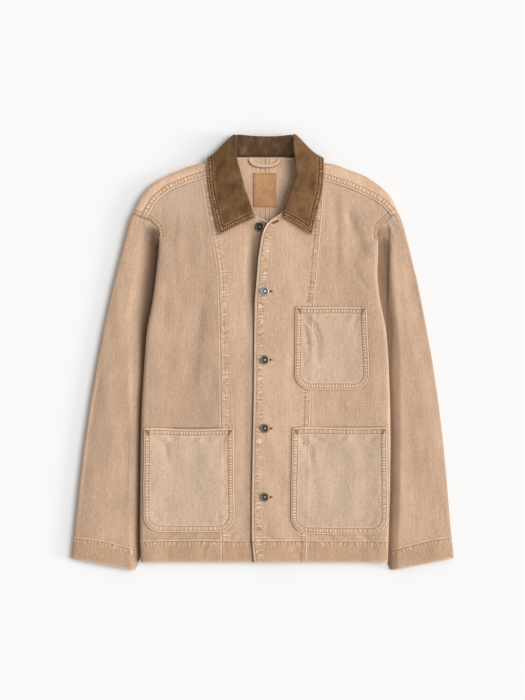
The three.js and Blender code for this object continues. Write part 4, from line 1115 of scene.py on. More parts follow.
def new_group(name, inputs, outputs, kind="ShaderNodeTree", out=FLOAT):
    """A node group's tree and net and its inputs' wires. An input is a default or a kind."""
    tree = bpy.data.node_groups.new(name, kind)
    for label, default in inputs.items():
        socket = {float: FLOAT, int: "NodeSocketInt", str: default}[type(default)]
        made = tree.interface.new_socket(label.replace("_", " "), in_out="INPUT", socket_type=socket)
        if not isinstance(default, str):
            made.default_value = default
    for label in outputs.split():
        tree.interface.new_socket(label, in_out="OUTPUT", socket_type=out)
    net = Net(tree)
    start, net.end = net.add("NodeGroupInput"), net.add("NodeGroupOutput")
    return tree, net, [Wire(net, s) for s in start.outputs[:len(inputs)]]


def weave_group():
    """Washed twill: a shade factor for the colour and a height, in the cloth's own metres."""
    tree, net, (grain, pitch, wash) = new_group(
        "washed_twill", dict(Grain=VECTOR, Twill_pitch=0.0011, Wash=1.0), "Shade Height Patch")
    across, up, _ = net.split(grain)
    twill = net.wave((across + up * 0.8) / pitch)
    slub = net.noise(grain, 640.0, 2.0, 0.6, (1.0, 0.16, 1.0))
    weft = net.noise(grain, 600.0, 2.0, 0.6, (0.2, 1.0, 1.0))
    grit = net.noise(grain, 380.0, 3.0, 0.7)
    cloud = net.noise(grain, 30.0, 3.0, 0.6, (1.0, 0.5, 1.0))
    blotch = net.noise(grain, 9.0, 2.0, 0.5, (1.5, 0.5, 1.0))
    streak = net.noise(grain, 210.0, 3.0, 0.6, (1.0, 0.11, 1.0))
    fine = (slub - 0.5) * 0.5 + (weft - 0.5) * 0.42 + (grit - 0.5) * 0.7 + (streak - 0.5) * 0.32
    soft = ((cloud - 0.5) * 0.34 + (blotch - 0.5) * 0.3) * wash
    for name, value in (("Shade", fine + soft + 1.0 + twill * 0.035), ("Patch", cloud),
                        ("Height", twill * 0.12 + (slub + weft + grit) * 0.55)):
        net.put(net.end.inputs[name], value)
    return tree


def ladder_group():
    """Two stitch rows with puckered beads of rubbed cloth between them, along a seam's mark."""
    tree, net, (seam, first, second, pitch, width, beads) = new_group(
        "felled_seam", dict(Mark=VECTOR, First_row=0.0024, Second_row=0.0096, Bead_pitch=0.0043,
                            Row_width=0.0012, Beads=1.0), "Light Thread Height")
    run, reach, on = net.split(seam)
    bead = net.ramp(net.beat(seam, run, pitch, 90.0, 0.2, pitch * 1.6), -0.2, 0.9)
    between = net.ramp(net.near(reach, (first + second) * 0.5, (second - first) * 0.55), 0.0, 0.45)
    uneven = net.uneven(seam, 55.0, 0.3, 0.3, 0.62, 0.6, 1.0)
    rows = net.highest(net.near(reach, first, width), net.near(reach, second, width))
    lines = net.math("ADD", net.near(reach, first - width * 1.5, width),
                     net.near(reach, second + width * 1.5, width), clamp=True)
    bead_light = bead * between * uneven * beads
    hollow = (1.0 - bead) * between * 0.85
    net.result(bead_light * 0.5 - rows * 0.5, on,
               Light=net.highest(bead_light, lines * uneven * 0.75),
               Thread=net.highest(rows, hollow * uneven * beads))
    return tree


def hem_group():
    """A turned-up hem's stitch line with a rubbed line above it and roped cloth below."""
    tree, net, (seam, width) = new_group(
        "roped_hem", dict(Mark=VECTOR, Row_width=0.0015), "Light Thread Band Height")
    run, reach, on = net.split(seam)
    beat = net.beat(seam, run, 0.0069, 80.0, 0.7, 0.019)
    rope = beat * net.uneven(seam, 65.0, 0.3, 0.3, 0.6, 0.05, 0.22) + 0.5
    fade = net.ramp(reach, -0.0005, 0.0008) * net.ramp(reach, 0.003, 0.0115, 1.0, 0.0)
    above = net.near(reach, -0.0016, 0.0014) * net.uneven(seam, 70.0, 0.1, 0.3, 0.6, 0.45, 1.0)
    row = net.near(reach, 0.0004, width)
    dashes = net.near(reach, -0.0044, 0.0016) * net.ramp(beat, -0.3, 0.7, 0.15, 0.8)
    net.result(rope * 0.8 - row, on,
               Light=net.highest(above, net.ramp(rope, 0.5, 0.62) * fade * 0.5),
               Thread=net.highest(row, net.ramp(rope, 0.5, 0.38) * fade * 0.7, dashes),
               Band=net.ramp(reach, -0.0004, 0.0008))
    return tree


def puckered_group():
    """Rubbed crests and stained hollows beside a seam, with a stitch row at a distance from it."""
    tree, net, (seam, crest, at, width, edge, pitch, first, last, strength) = new_group(
        "puckered_seam", dict(Mark=VECTOR, Crest=0.0, Row_at=0.0045, Row_width=0.0011, Edge_width=0.002,
                              Pitch=0.0068, Start=0.003, End=0.017, Strength=0.8), "Light Thread Height")
    run, reach, on = net.split(seam)
    beat = net.beat(seam, run, pitch, 85.0, 0.6, pitch * 3.4)
    dash = beat * net.uneven(seam, 75.0, 0.5, 0.32, 0.62, 0.15, 1.0) * 0.9 + crest * 0.35
    ragged = reach + (net.noise(seam, 190.0, 1.0, 0.5, (1, 0.2, 0)) - 0.5) * 0.011
    span = (net.ramp(reach, first - 0.0008, first + 0.0008)
            * net.ramp(ragged, last - 0.0075, last, 1.0, 0.0) * strength * on)
    uneven = net.uneven(seam, 60.0, 0.1, 0.28, 0.6, 0.5, 1.0) * on
    row = net.near(reach, at, width)
    net.result((dash - row * 0.6) * span, 1.0,
               Light=net.highest(net.near(reach, 0.0006, edge) * uneven, net.ramp(dash, 0.1, 0.75) * span),
               Thread=net.highest(row * uneven, net.ramp(dash, -0.2, -0.85) * span))
    return tree


def tint(colour, share):
    return [min(c * share, 1) for c in colour[:3]]


def new_material(name):
    """A new material's net, its Principled shader and the jacket's colours."""
    material = bpy.data.materials.new(name)
    material.use_nodes = True
    shader = material.node_tree.nodes["Principled BSDF"]
    return Net(material.node_tree), shader, bpy.context.scene.jacket_cloth


def finish(net, shader, height, distance, strength=1.0, **values):
    """Puts the values in the shader, and a bump made from the height."""
    for key, value in values.items():
        net.put(shader.inputs[key.replace("_", " ")], value)
    net.put(shader.inputs["Normal"], net.wire("ShaderNodeBump", named={
        "Distance": distance, "Strength": strength, "Height": height}))


def denim_material(name, cloth, groups, seams, tone=1.0):
    """Denim with the seams that this piece has: each is (group, mark, values)."""
    net, shader, colours = new_material(name)
    grain = net.wire("ShaderNodeUVMap", uv_map="grain")
    weave = net.group(groups["weave"], Grain=grain, Twill_pitch=colours.twill_pitch, Wash=colours.wash)
    crest = net.attribute("crest", "Fac")
    light, thread, band = [net.attribute("worn", "Fac") * 0.8], [], []
    height = weave["Height"] * 0.5
    for kind, label, values in seams:
        if kind == "puckered":
            values = {**values, "Crest": crest}
        seam = net.group(groups[kind], Mark=net.attribute(label), **values)
        light.append(seam["Light"])
        thread.append(seam["Thread"])
        height = height + seam["Height"]
        if kind == "hem":
            band.append(seam["Band"])
    base = net.mix(weave["Patch"], tint(cloth, 0.97 * tone), tint(cloth, 1.03 * tone))
    if band:
        base = net.mix(net.highest(*band) * 0.55, base, colours.hem_colour)
    base = net.mix(1.0, base, net.grey(weave["Shade"]), "MULTIPLY")
    broken = net.ramp(net.noise(grain, 700.0, 2.0, 0.6), 0.25, 0.55, 0.7, 1.0)
    light = net.highest(*light)
    base = net.mix(net.highest(*thread) * broken * 0.74, base, colours.stain_colour)
    base = net.mix(light * broken * 0.8, base, colours.rubbed_colour)
    # Painted shade: the cloth darkens towards the shade colour near the marked folds, edges and seams.
    off, width, depth = net.split(net.attribute("painted_shade"))
    base = net.mix(net.ramp(off, 0.0, width, 1.0, 0.0) * depth, base, colours.painted_shade_colour)
    finish(net, shader, height, 0.00045, 0.8, Base_Color=base, Sheen_Weight=0.12, Sheen_Roughness=0.6,
           Roughness=light * 0.05 + 0.9, Specular_IOR_Level=0.15)


def corduroy_material(groups):
    """Rubbed corduroy: fine ribs, painted shade in its puckered hollows, on the inside of the stand and at
    its foot, paler where it is worn along its edges.
    """
    net, shader, colours = new_material("collar_corduroy")
    grain = net.wire("ShaderNodeUVMap", uv_map="grain")
    run, _, _ = net.split(grain)
    uneven_run = run + net.noise(grain, 60.0, 2.0, 0.5) * 0.0012
    rib = net.ramp(net.wave(uneven_run / colours.rib_pitch), -0.75, 0.6)
    nap = net.noise(grain, 420.0, 3.0, 0.65, (1.0, 0.25, 1.0))
    cloud = net.noise(grain, 45.0, 4.0, 0.65, (1.0, 0.6, 1.0))
    crest, worn, leaf = (net.attribute(name, "Fac") for name in ("crest", "worn", "leaf"))
    seam = net.group(groups["ladder"], Mark=net.attribute("ladder"), First_row=0.003, Second_row=0.0092,
                     Bead_pitch=0.0047, Row_width=0.0018)
    _, stand_up, on_stand = net.split(net.attribute("stand"))
    dark = colours.corduroy_dark
    base = net.mix(leaf, colours.corduroy_colour, tint(colours.corduroy_colour, 1.12))
    # Painted shade: the inside of the stand gets a darker copy of the corduroy's colour.
    base = net.mix(on_stand * 0.85, base, colours.stand_shaded_colour)
    base = net.mix(net.ramp(cloud, 0.48, 0.66, 0.0, 0.75), base, colours.corduroy_worn)
    base = net.mix(net.ramp(cloud, 0.5, 0.32, 0.0, 0.55), base, dark)
    base = net.mix(1.0, base, net.grey(rib * 0.24 + nap * 0.62 + 0.42), "MULTIPLY")
    ragged = net.ramp(net.noise(grain, 230.0, 2.0, 0.6), 0.36, 0.6, 0.2, 1.0)
    # Dark thread rows, with painted shade in the puckers' hollows and at the foot of the stand by the neck
    # seam.
    hollows = net.highest(net.ramp(crest, -0.1, -0.7), seam["Thread"] * ragged,
                          on_stand * net.ramp(stand_up, 0.0, 0.004, 1.0, 0.0))
    base = net.mix(hollows * 0.95, base, dark)
    tips = net.highest(net.ramp(crest, 0.2, 0.85) * 0.8, seam["Light"] * ragged * 0.85, worn * 0.55)
    base = net.mix(tips * 0.85, base, colours.corduroy_tip)
    finish(net, shader, rib * 0.8 + nap * 0.5 + seam["Height"], 0.0005, 0.8, Base_Color=base,
           Roughness=0.92, Sheen_Weight=0.25, Sheen_Roughness=0.45, Specular_IOR_Level=0.12)


def label_material():
    """Smooth tan patch leather, scuffed and darker in its stitched edge."""
    net, shader, colours = new_material("label_leather")
    colour = colours.label_colour
    grain = net.wire("ShaderNodeUVMap", uv_map="grain")
    cloud = net.noise(grain, 70.0, 3.0, 0.6)
    base = net.mix(net.ramp(cloud, 0.3, 0.7), tint(colour, 0.86), tint(colour, 1.12))
    base = net.mix(net.attribute("worn", "Fac") * 0.35, base, tint(colour, 0.7))
    finish(net, shader, net.noise(grain, 1400.0, 2.0, 0.5), 0.0002, Base_Color=base,
           Roughness=cloud * 0.15 + 0.55, Specular_IOR_Level=0.3)


def thread_material(name, colour):
    """Dull twisted thread, a little uneven in shade."""
    net, shader, _ = new_material(name)
    place = Wire(net, net.add("ShaderNodeTexCoord").outputs["Object"])
    blotch = net.ramp(net.noise(place, 160.0, 2.0, 0.6), 0.32, 0.68)
    base = net.mix(blotch, tint(colour, 0.8), tint(colour, 1.25))
    finish(net, shader, net.noise(place, 2600.0, 1.0, 0.5), 0.0001, Base_Color=base, Roughness=0.8,
           Specular_IOR_Level=0.2)


def metal_material(name, colour, bright):
    """Antiqued metal: dark in its hollows, rubbed bright on its rims."""
    net, shader, _ = new_material(name)
    place = Wire(net, net.add("ShaderNodeTexCoord").outputs["Object"])
    rub = net.attribute("worn", "Fac") * net.ramp(net.noise(place, 420.0, 3.0, 0.6), 0.3, 0.6, 0.55, 1.0)
    finish(net, shader, net.noise(place, 1500.0, 2.0, 0.5), 0.0001, Base_Color=net.mix(rub, colour, bright),
           Roughness=net.ramp(rub, 0.0, 1.0, 0.65, 0.42), Metallic=0.85)


def materials():
    """Every finish of the jacket, made once and kept by name."""
    if "denim_facing" in bpy.data.materials:
        return bpy.data.materials
    colours = bpy.context.scene.jacket_cloth
    groups = {"weave": weave_group(), "ladder": ladder_group(), "hem": hem_group(),
              "puckered": puckered_group()}
    denim = colours.denim_colour
    edge = ("puckered", "seam", dict(Row_at=0.0022, Edge_width=0.0016, Strength=0.0))
    lap = ("puckered", "seam", dict(Row_at=0.0014, Edge_width=0.0009, Start=0.0022, End=0.0185,
                                    Strength=0.62))
    hem = ("hem", "hem", {})
    arm = ("ladder", "armhole", dict(First_row=0.0018, Second_row=0.0078, Bead_pitch=0.006, Beads=0.45))
    shoulder = ("ladder", "ladder", dict(First_row=0.0034, Second_row=0.0116, Bead_pitch=0.006,
                                         Row_width=0.0014))
    centre_back = ("ladder", "seam", dict(First_row=0.0014, Second_row=0.0085, Beads=0.0, Row_width=0.0014))
    front_edge = ("puckered", "placket", dict(Row_at=0.0045, Edge_width=0.003, Start=0.0055, End=0.0205,
                                              Strength=0.9))
    cap = ("puckered", "armhole", dict(Row_at=-0.01, Edge_width=0.0018, Start=0.001, End=0.02, Pitch=0.011,
                                       Strength=0.3))
    # The backs' higher tones are partly painted light, lifting the inside of the back where the collar
    # shades it.
    for name, seams, tone in (
            ("back_right", [hem, shoulder, arm, centre_back], 1.24),
            ("back_left", [hem, shoulder, arm, centre_back], 1.28),
            ("side_front_right", [edge, hem, arm], 0.915), ("side_front_left", [edge, hem, arm], 1.03),
            ("centre_front_right", [lap, hem], 1.06), ("centre_front_left", [lap, hem, front_edge], 1.07),
            ("sleeve_right", [hem, cap], 0.97), ("sleeve_left", [hem, cap], 1.03), ("facing", [], 1.0),
            ("tape", [("ladder", "ladder", dict(First_row=0.0011, Second_row=0.0055, Beads=0.0,
                                                Row_width=0.0006))], 1.35)):
        denim_material(f"denim_{name}", denim, groups, seams, tone)
    denim_material("denim_pocket", colours.pocket_colour, groups, [
        ("ladder", "ladder", dict(First_row=0.0024, Second_row=0.0104, Bead_pitch=0.005)),
        ("ladder", "mouth", dict(First_row=0.0036, Second_row=0.0108, Bead_pitch=0.0056))])
    corduroy_material(groups)
    label_material()
    for name, colour in (("thread_tan", colours.thread_colour), ("thread_cream", colours.rubbed_colour),
                         ("thread_collar", tint(colours.thread_colour, 0.25)),
                         ("thread_ticks", (0.52, 0.32, 0.165)), ("buttonhole_shadow", (0.05, 0.03, 0.02))):
        thread_material(name, colour)
    metal_material("button_dark", (0.045, 0.036, 0.028), (0.4, 0.345, 0.28))
    metal_material("button_black", (0.016, 0.012, 0.009), (0.17, 0.135, 0.1))
    metal_material("button_nickel", (0.16, 0.15, 0.14), (0.66, 0.64, 0.6))
    return bpy.data.materials


# -------------- stitches and buttons
def stitch_tree():
    """Geometry Nodes that lay one stitch of thread at each step along the given lines."""
    if "stitch_row" in bpy.data.node_groups:
        return bpy.data.node_groups["stitch_row"]
    tree, net, (lines, pitch, length, thick, turn, uneven, seed, thread) = new_group(
        "stitch_row", dict(Lines=GEOMETRY, Pitch=0.003, Length=0.0027, Thickness=0.0008, Turn=0.0,
                           Unevenness=0.18, Seed=7, Thread="NodeSocketMaterial"),
        "Stitches", "GeometryNodeTree", GEOMETRY)
    spaced = net.wire("GeometryNodeResampleCurve", mode="LENGTH", named={
        "Curve": net.wire("GeometryNodeMeshToCurve", lines), "Length": pitch})
    ball = net.wire("GeometryNodeMeshUVSphere", named={"Segments": 6, "Rings": 4, "Radius": 0.5})
    tangent = net.wire("GeometryNodeInputTangent")
    rotated = net.wire(
        "FunctionNodeRotateRotation",
        net.wire("FunctionNodeAlignRotationToVector", axis="X", named={"Vector": tangent}),
        net.wire("FunctionNodeEulerToRotation", net.wire("ShaderNodeCombineXYZ", named={"Z": turn})),
        rotation_space="LOCAL")
    vary = net.wire("FunctionNodeRandomValue", data_type="FLOAT", named={
        "Min": 1.0 - uneven, "Max": uneven + 1.0, "Seed": seed})
    laid = net.wire("GeometryNodeInstanceOnPoints", named={
        "Points": spaced, "Instance": ball, "Rotation": rotated,
        "Scale": net.wire("ShaderNodeCombineXYZ", length * vary, thick, thick)})
    real = net.wire("GeometryNodeRealizeInstances", laid)
    net.put(net.end.inputs[0], net.wire("GeometryNodeSetMaterial", named={
        "Geometry": real, "Material": thread}))
    return tree


def laid_stitches(name, lines, thread, slot, **values):
    """A piece with a stitch at each step along 3-D lines given in millimetres."""
    points, edges = [], []
    for line in lines:
        first = len(points)
        points += [tuple(p * MM) for p in np.asarray(line)]
        edges += [(k, k + 1) for k in range(first, len(points) - 1)]
    source = bpy.data.meshes.new(name)
    source.from_pydata(points, edges, [])
    holder = linked(bpy.data.objects.new(name, source))
    rows = holder.modifiers.new("rows", "NODES")
    rows.node_group = stitch_tree()
    keys = {item.name: item.identifier for item in rows.node_group.interface.items_tree
            if item.item_type == "SOCKET" and item.in_out == "INPUT"}
    for key, value in {**values, "Thread": materials()[thread]}.items():
        rows[keys[key]] = value
    made = bpy.data.meshes.new_from_object(holder.evaluated_get(bpy.context.evaluated_depsgraph_get()))
    holder.modifiers.remove(rows)
    bpy.data.objects.remove(holder)
    made.name = name
    made.polygons.foreach_set("use_smooth", np.ones(len(made.polygons), bool))
    return piece(made, thread, slot)


def surface(*names):
    """A finder of the height of the named pieces' upper or under side along a line."""
    points, faces = [], []
    for name in names:
        mesh = bpy.data.objects[name].data
        first = len(points)
        co = np.empty(len(mesh.vertices) * 3, np.float32)
        mesh.vertices.foreach_get("co", co)
        points += co.reshape(-1, 3).tolist()
        faces += [[first + v for v in p.vertices] for p in mesh.polygons]
    tree = BVHTree.FromPolygons(points, faces)

    def lay(line, lift=0.2, under=False, pitch=2.0):
        path, runs = measured(line)
        at = np.arange(0, runs[-1], pitch)
        way = 1 if under else -1
        lines = [[]]
        for x, y in zip(np.interp(at, runs, path[:, 0]), np.interp(at, runs, path[:, 1])):
            hit = tree.ray_cast(Vector((x * MM, y * MM, -0.1 * way)), Vector((0, 0, way)))[0]
            if hit is None:
                lines.append([])
            else:
                lines[-1].append((x, y, hit.z / MM - way * lift))
        return [np.array(found) for found in lines if len(found) > 1]
    return lay


def offset_line(line, distance):
    """The line moved to its left by a distance."""
    way = unit(np.gradient(line, axis=0))
    return line + np.stack([-way[:, 1], way[:, 0]], 1) * distance


def zigzag(corner, way, depth, side_way, width, turns):
    """A bar tack's thread, to and fro across a triangle that narrows away from its corner."""
    t = np.linspace(0, 1, turns * 2 + 1)[:, None]
    swing = (np.arange(len(t)) % 2)[:, None] * width * (1 - 0.85 * t)
    return np.array(corner) + np.array(way) * t * depth + np.array(side_way) * swing


def oval(middle, length, half, lean=0.0, count=28):
    """A closed loop round a buttonhole."""
    turn = np.linspace(0, 2 * np.pi, count)
    x = np.clip(np.cos(turn) * 1.25, -1, 1) * length / 2
    y = np.sin(turn) * half
    return np.stack([middle[0] + x * math.cos(lean) - y * math.sin(lean),
                     middle[1] + x * math.sin(lean) + y * math.cos(lean)], 1)


# Each row: radius, height over the head's underside, and how bright that part is rubbed.
BUTTON_PROFILE = [
    (0, -2.8, 0), (3.4, -2.8, 0), (3.6, -2.4, 0), (2.4, -2.1, 0), (2.3, -0.2, 0), (3.0, 0, 0),
    (7.4, 0.05, 0), (8.1, 0.4, 0.2), (8.45, 0.95, 0.5), (8.4, 1.5, 0.7), (8.05, 2.05, 0.9),
    (7.55, 2.5, 1.0), (7.0, 2.68, 0.8), (6.5, 2.55, 0.35), (6.2, 2.42, 0.1), (5.8, 2.5, 0.3),
    (5.3, 2.42, 0.6), (4.8, 2.1, 0.25), (4.3, 1.6, 0), (3.6, 1.3, 0), (2.9, 1.35, 0.1), (2.5, 1.7, 0.5),
    (2.1, 2.15, 0.9), (1.5, 2.4, 1.0), (0.8, 2.48, 1.0), (0, 2.5, 1.0)]


def button_mesh(name, middle, segments=40):
    """A tack button turned from its profile, closed at its poles."""
    angle = np.arange(segments) * 2 * np.pi / segments
    points, rub, rings = [], [], []
    for r, z, worn in BUTTON_PROFILE:
        count = segments if r else 1
        rings.append([len(points) + k % count for k in range(segments)])
        points += [(middle[0] + r * math.cos(a), middle[1] + r * math.sin(a), middle[2] + z)
                   for a in angle[:count]]
        rub += [worn] * count
    faces = [list(dict.fromkeys([low[k - 1], low[k], high[k], high[k - 1]]))
             for low, high in zip(rings, rings[1:]) for k in range(segments)]
    mesh = bpy.data.meshes.new(name)
    mesh.from_pydata([tuple(np.array(p) * MM) for p in points], [], faces)
    mesh.polygons.foreach_set("use_smooth", np.ones(len(mesh.polygons), bool))
    mesh.attributes.new("worn", "FLOAT", "POINT").data.foreach_set("value", np.array(rub, np.float32))
    mesh.update()
    return mesh


# -------------- settings
def length(name, description, default, **limits):
    return bpy.props.FloatProperty(name=name, description=description, default=default, unit="LENGTH",
                                   **limits)


def angle(name, description, degrees, limit):
    return bpy.props.FloatProperty(name=name, description=description, default=math.radians(degrees),
                                   min=0, max=limit, subtype="ANGLE")


def strength(name, description, default, **limits):
    return bpy.props.FloatProperty(name=name, description=description, default=default, min=0, **limits)


def colour(name, description, *default):
    return bpy.props.FloatVectorProperty(name=name, description=description, default=default,
                                         subtype="COLOR", size=3, min=0, max=1)


class JacketCloth(bpy.types.PropertyGroup):
    pitch: length("Cloth grid", "Spacing of the points that carry the folds and puckers", 0.0025,
                  min=0.0015, max=0.01)
    twill_pitch: length("Twill pitch", "Distance between the denim's diagonal ribs", 0.0011,
                        min=0.0005, max=0.003)
    rib_pitch: length("Corduroy rib", "Distance between the corduroy's ribs", 0.0021, min=0.001, max=0.005)
    wash: strength("Wash", "How cloudy the washed denim is", 1.0, max=3.0)
    denim_colour: colour("Denim", "Colour of the denim", 0.552, 0.371, 0.254)
    pocket_colour: colour("Pocket denim", "Colour of the paler pockets", 0.585, 0.42, 0.304)
    hem_colour: colour("Hem", "Colour that the hem and cuffs tend to", 0.5, 0.3, 0.18)
    stain_colour: colour("Seam stain", "Colour of the cloth in the seams' hollows", 0.42, 0.2, 0.085)
    # Colour of the painted shade in deep folds, under lapped edges and beside seams.
    painted_shade_colour: colour("Deep folds", "Colour that the cloth keeps in its deepest folds", 0.12, 0.066, 0.036)
    rubbed_colour: colour("Rubbed edges", "Colour of the cloth where it is rubbed", 0.83, 0.66, 0.5)
    corduroy_colour: colour("Corduroy", "Colour of the collar", 0.19, 0.093, 0.038)
    corduroy_worn: colour("Faded corduroy", "Colour of the collar where it has faded", 0.29, 0.155, 0.072)
    # Used for dark blotches in the pile and for the painted shade in the collar's hollows.
    corduroy_dark: colour("Corduroy hollows", "Colour of the collar's hollows", 0.07, 0.032, 0.014)
    corduroy_tip: colour("Corduroy tips", "Colour of the collar's rubbed edges", 0.46, 0.27, 0.13)
    # A darker copy of the corduroy's colour, painted shade for the inside of the stand.
    stand_shaded_colour: colour("Collar stand", "Colour of the inside of the collar", 0.125, 0.07, 0.037)
    thread_colour: colour("Thread", "Colour of the stitching", 0.42, 0.2, 0.08)
    # Set lighter as painted light, against the collar's shade that the label lies in.
    label_colour: colour("Label", "Colour of the neck label", 0.56, 0.29, 0.13)


class JacketStage(bpy.types.PropertyGroup):
    sun_strength: strength("Light", "Strength of the main soft light", 2.0)
    low_strength: strength("Low light", "Strength of the low light from the side", 1.45)
    sky_strength: strength("Fill", "Strength of the even light all round", 0.46)
    sun_height: angle("Light height", "Angle of the light over the floor", 48, math.pi / 2)
    sun_softness: angle("Softness", "How wide the light is", 38, math.pi)
    camera_height: length("Camera height", "Height of the camera over the floor", 3.068, min=0.5)


# -------------- operators
def grid_pitch(context):
    """The cloth grid's pitch in millimetres."""
    return context.scene.jacket_cloth.pitch / MM


class JACKET_OT_backs(bpy.types.Operator):
    """Make both halves of the back, up to the forward shoulder seams"""
    bl_idname = "jacket.backs"
    bl_label = "Backs"

    def execute(self, context):
        for side in SIDES:
            made = piece(back_mesh(side, grid_pitch(context)), f"denim_back_{side}", "denim", f"back_{side}")
        return {"FINISHED"}


class JACKET_OT_fronts(bpy.types.Operator):
    """Make the side fronts and the two centre fronts"""
    bl_idname = "jacket.fronts"
    bl_label = "Fronts"

    def execute(self, context):
        pitch = grid_pitch(context)
        for side in SIDES:
            made = piece(side_front_mesh(side, pitch), f"denim_side_front_{side}", "denim",
                         f"side_front_{side}")
            made = piece(centre_front_mesh(side, pitch), f"denim_centre_front_{side}", "denim",
                         f"centre_front_{side}")
        return {"FINISHED"}


class JACKET_OT_sleeves(bpy.types.Operator):
    """Make both sleeves, from the armholes to the cuffs"""
    bl_idname = "jacket.sleeves"
    bl_label = "Sleeves"

    def execute(self, context):
        for side in SIDES:
            made = piece(sleeve_mesh(side, grid_pitch(context)), f"denim_sleeve_{side}", "denim",
                         f"sleeve_{side}")
        return {"FINISHED"}


class JACKET_OT_collar(bpy.types.Operator):
    """Make the corduroy collar and the denim under collar"""
    bl_idname = "jacket.collar"
    bl_label = "Collar"

    def execute(self, context):
        made = piece(collar_mesh(), "collar_corduroy", "corduroy", "collar")
        under = piece(under_collar_mesh(), "denim_facing", "denim", "under_collar")
        return {"FINISHED"}


class JACKET_OT_pockets(bpy.types.Operator):
    """Make the chest pocket and the two lower pockets"""
    bl_idname = "jacket.pockets"
    bl_label = "Pockets"

    def execute(self, context):
        for name, shape in POCKETS.items():
            made = piece(pocket_mesh(name, grid_pitch(context) * 0.85), "denim_pocket", "pocket_denim", name)
        return {"FINISHED"}


class JACKET_OT_neck(bpy.types.Operator):
    """Make the bare neck label and the hanger loop"""
    bl_idname = "jacket.neck"
    bl_label = "Label and loop"

    def execute(self, context):
        label = piece(label_mesh(), "label_leather", "label", "neck_label")
        loop = piece(hanger_loop_mesh(), "denim_tape", "denim", "hanger_loop")
        return {"FINISHED"}


class JACKET_OT_buttons(bpy.types.Operator):
    """Make the five tack buttons, four fastened and the top one open"""
    bl_idname = "jacket.buttons"
    bl_label = "Buttons"

    def execute(self, context):
        right, left = (surface(f"centre_front_cloth_{side}") for side in SIDES)
        for k, (x, y) in enumerate([OPEN_BUTTON, *((BUTTON_X, y) for y in BUTTON_HEIGHTS)], 1):
            under = [(x - 6, y), (x + 6, y)]
            seat = (right if k == 1 else left)(under, 0.3, pitch=3.0)[0][:, 2].max()
            finish = {1: "button_black", 2: "button_nickel"}.get(k, "button_dark")
            piece(button_mesh(f"tack_button_{k}", (x, y, seat)), finish, "button_metal", f"button_{k}")
        return {"FINISHED"}


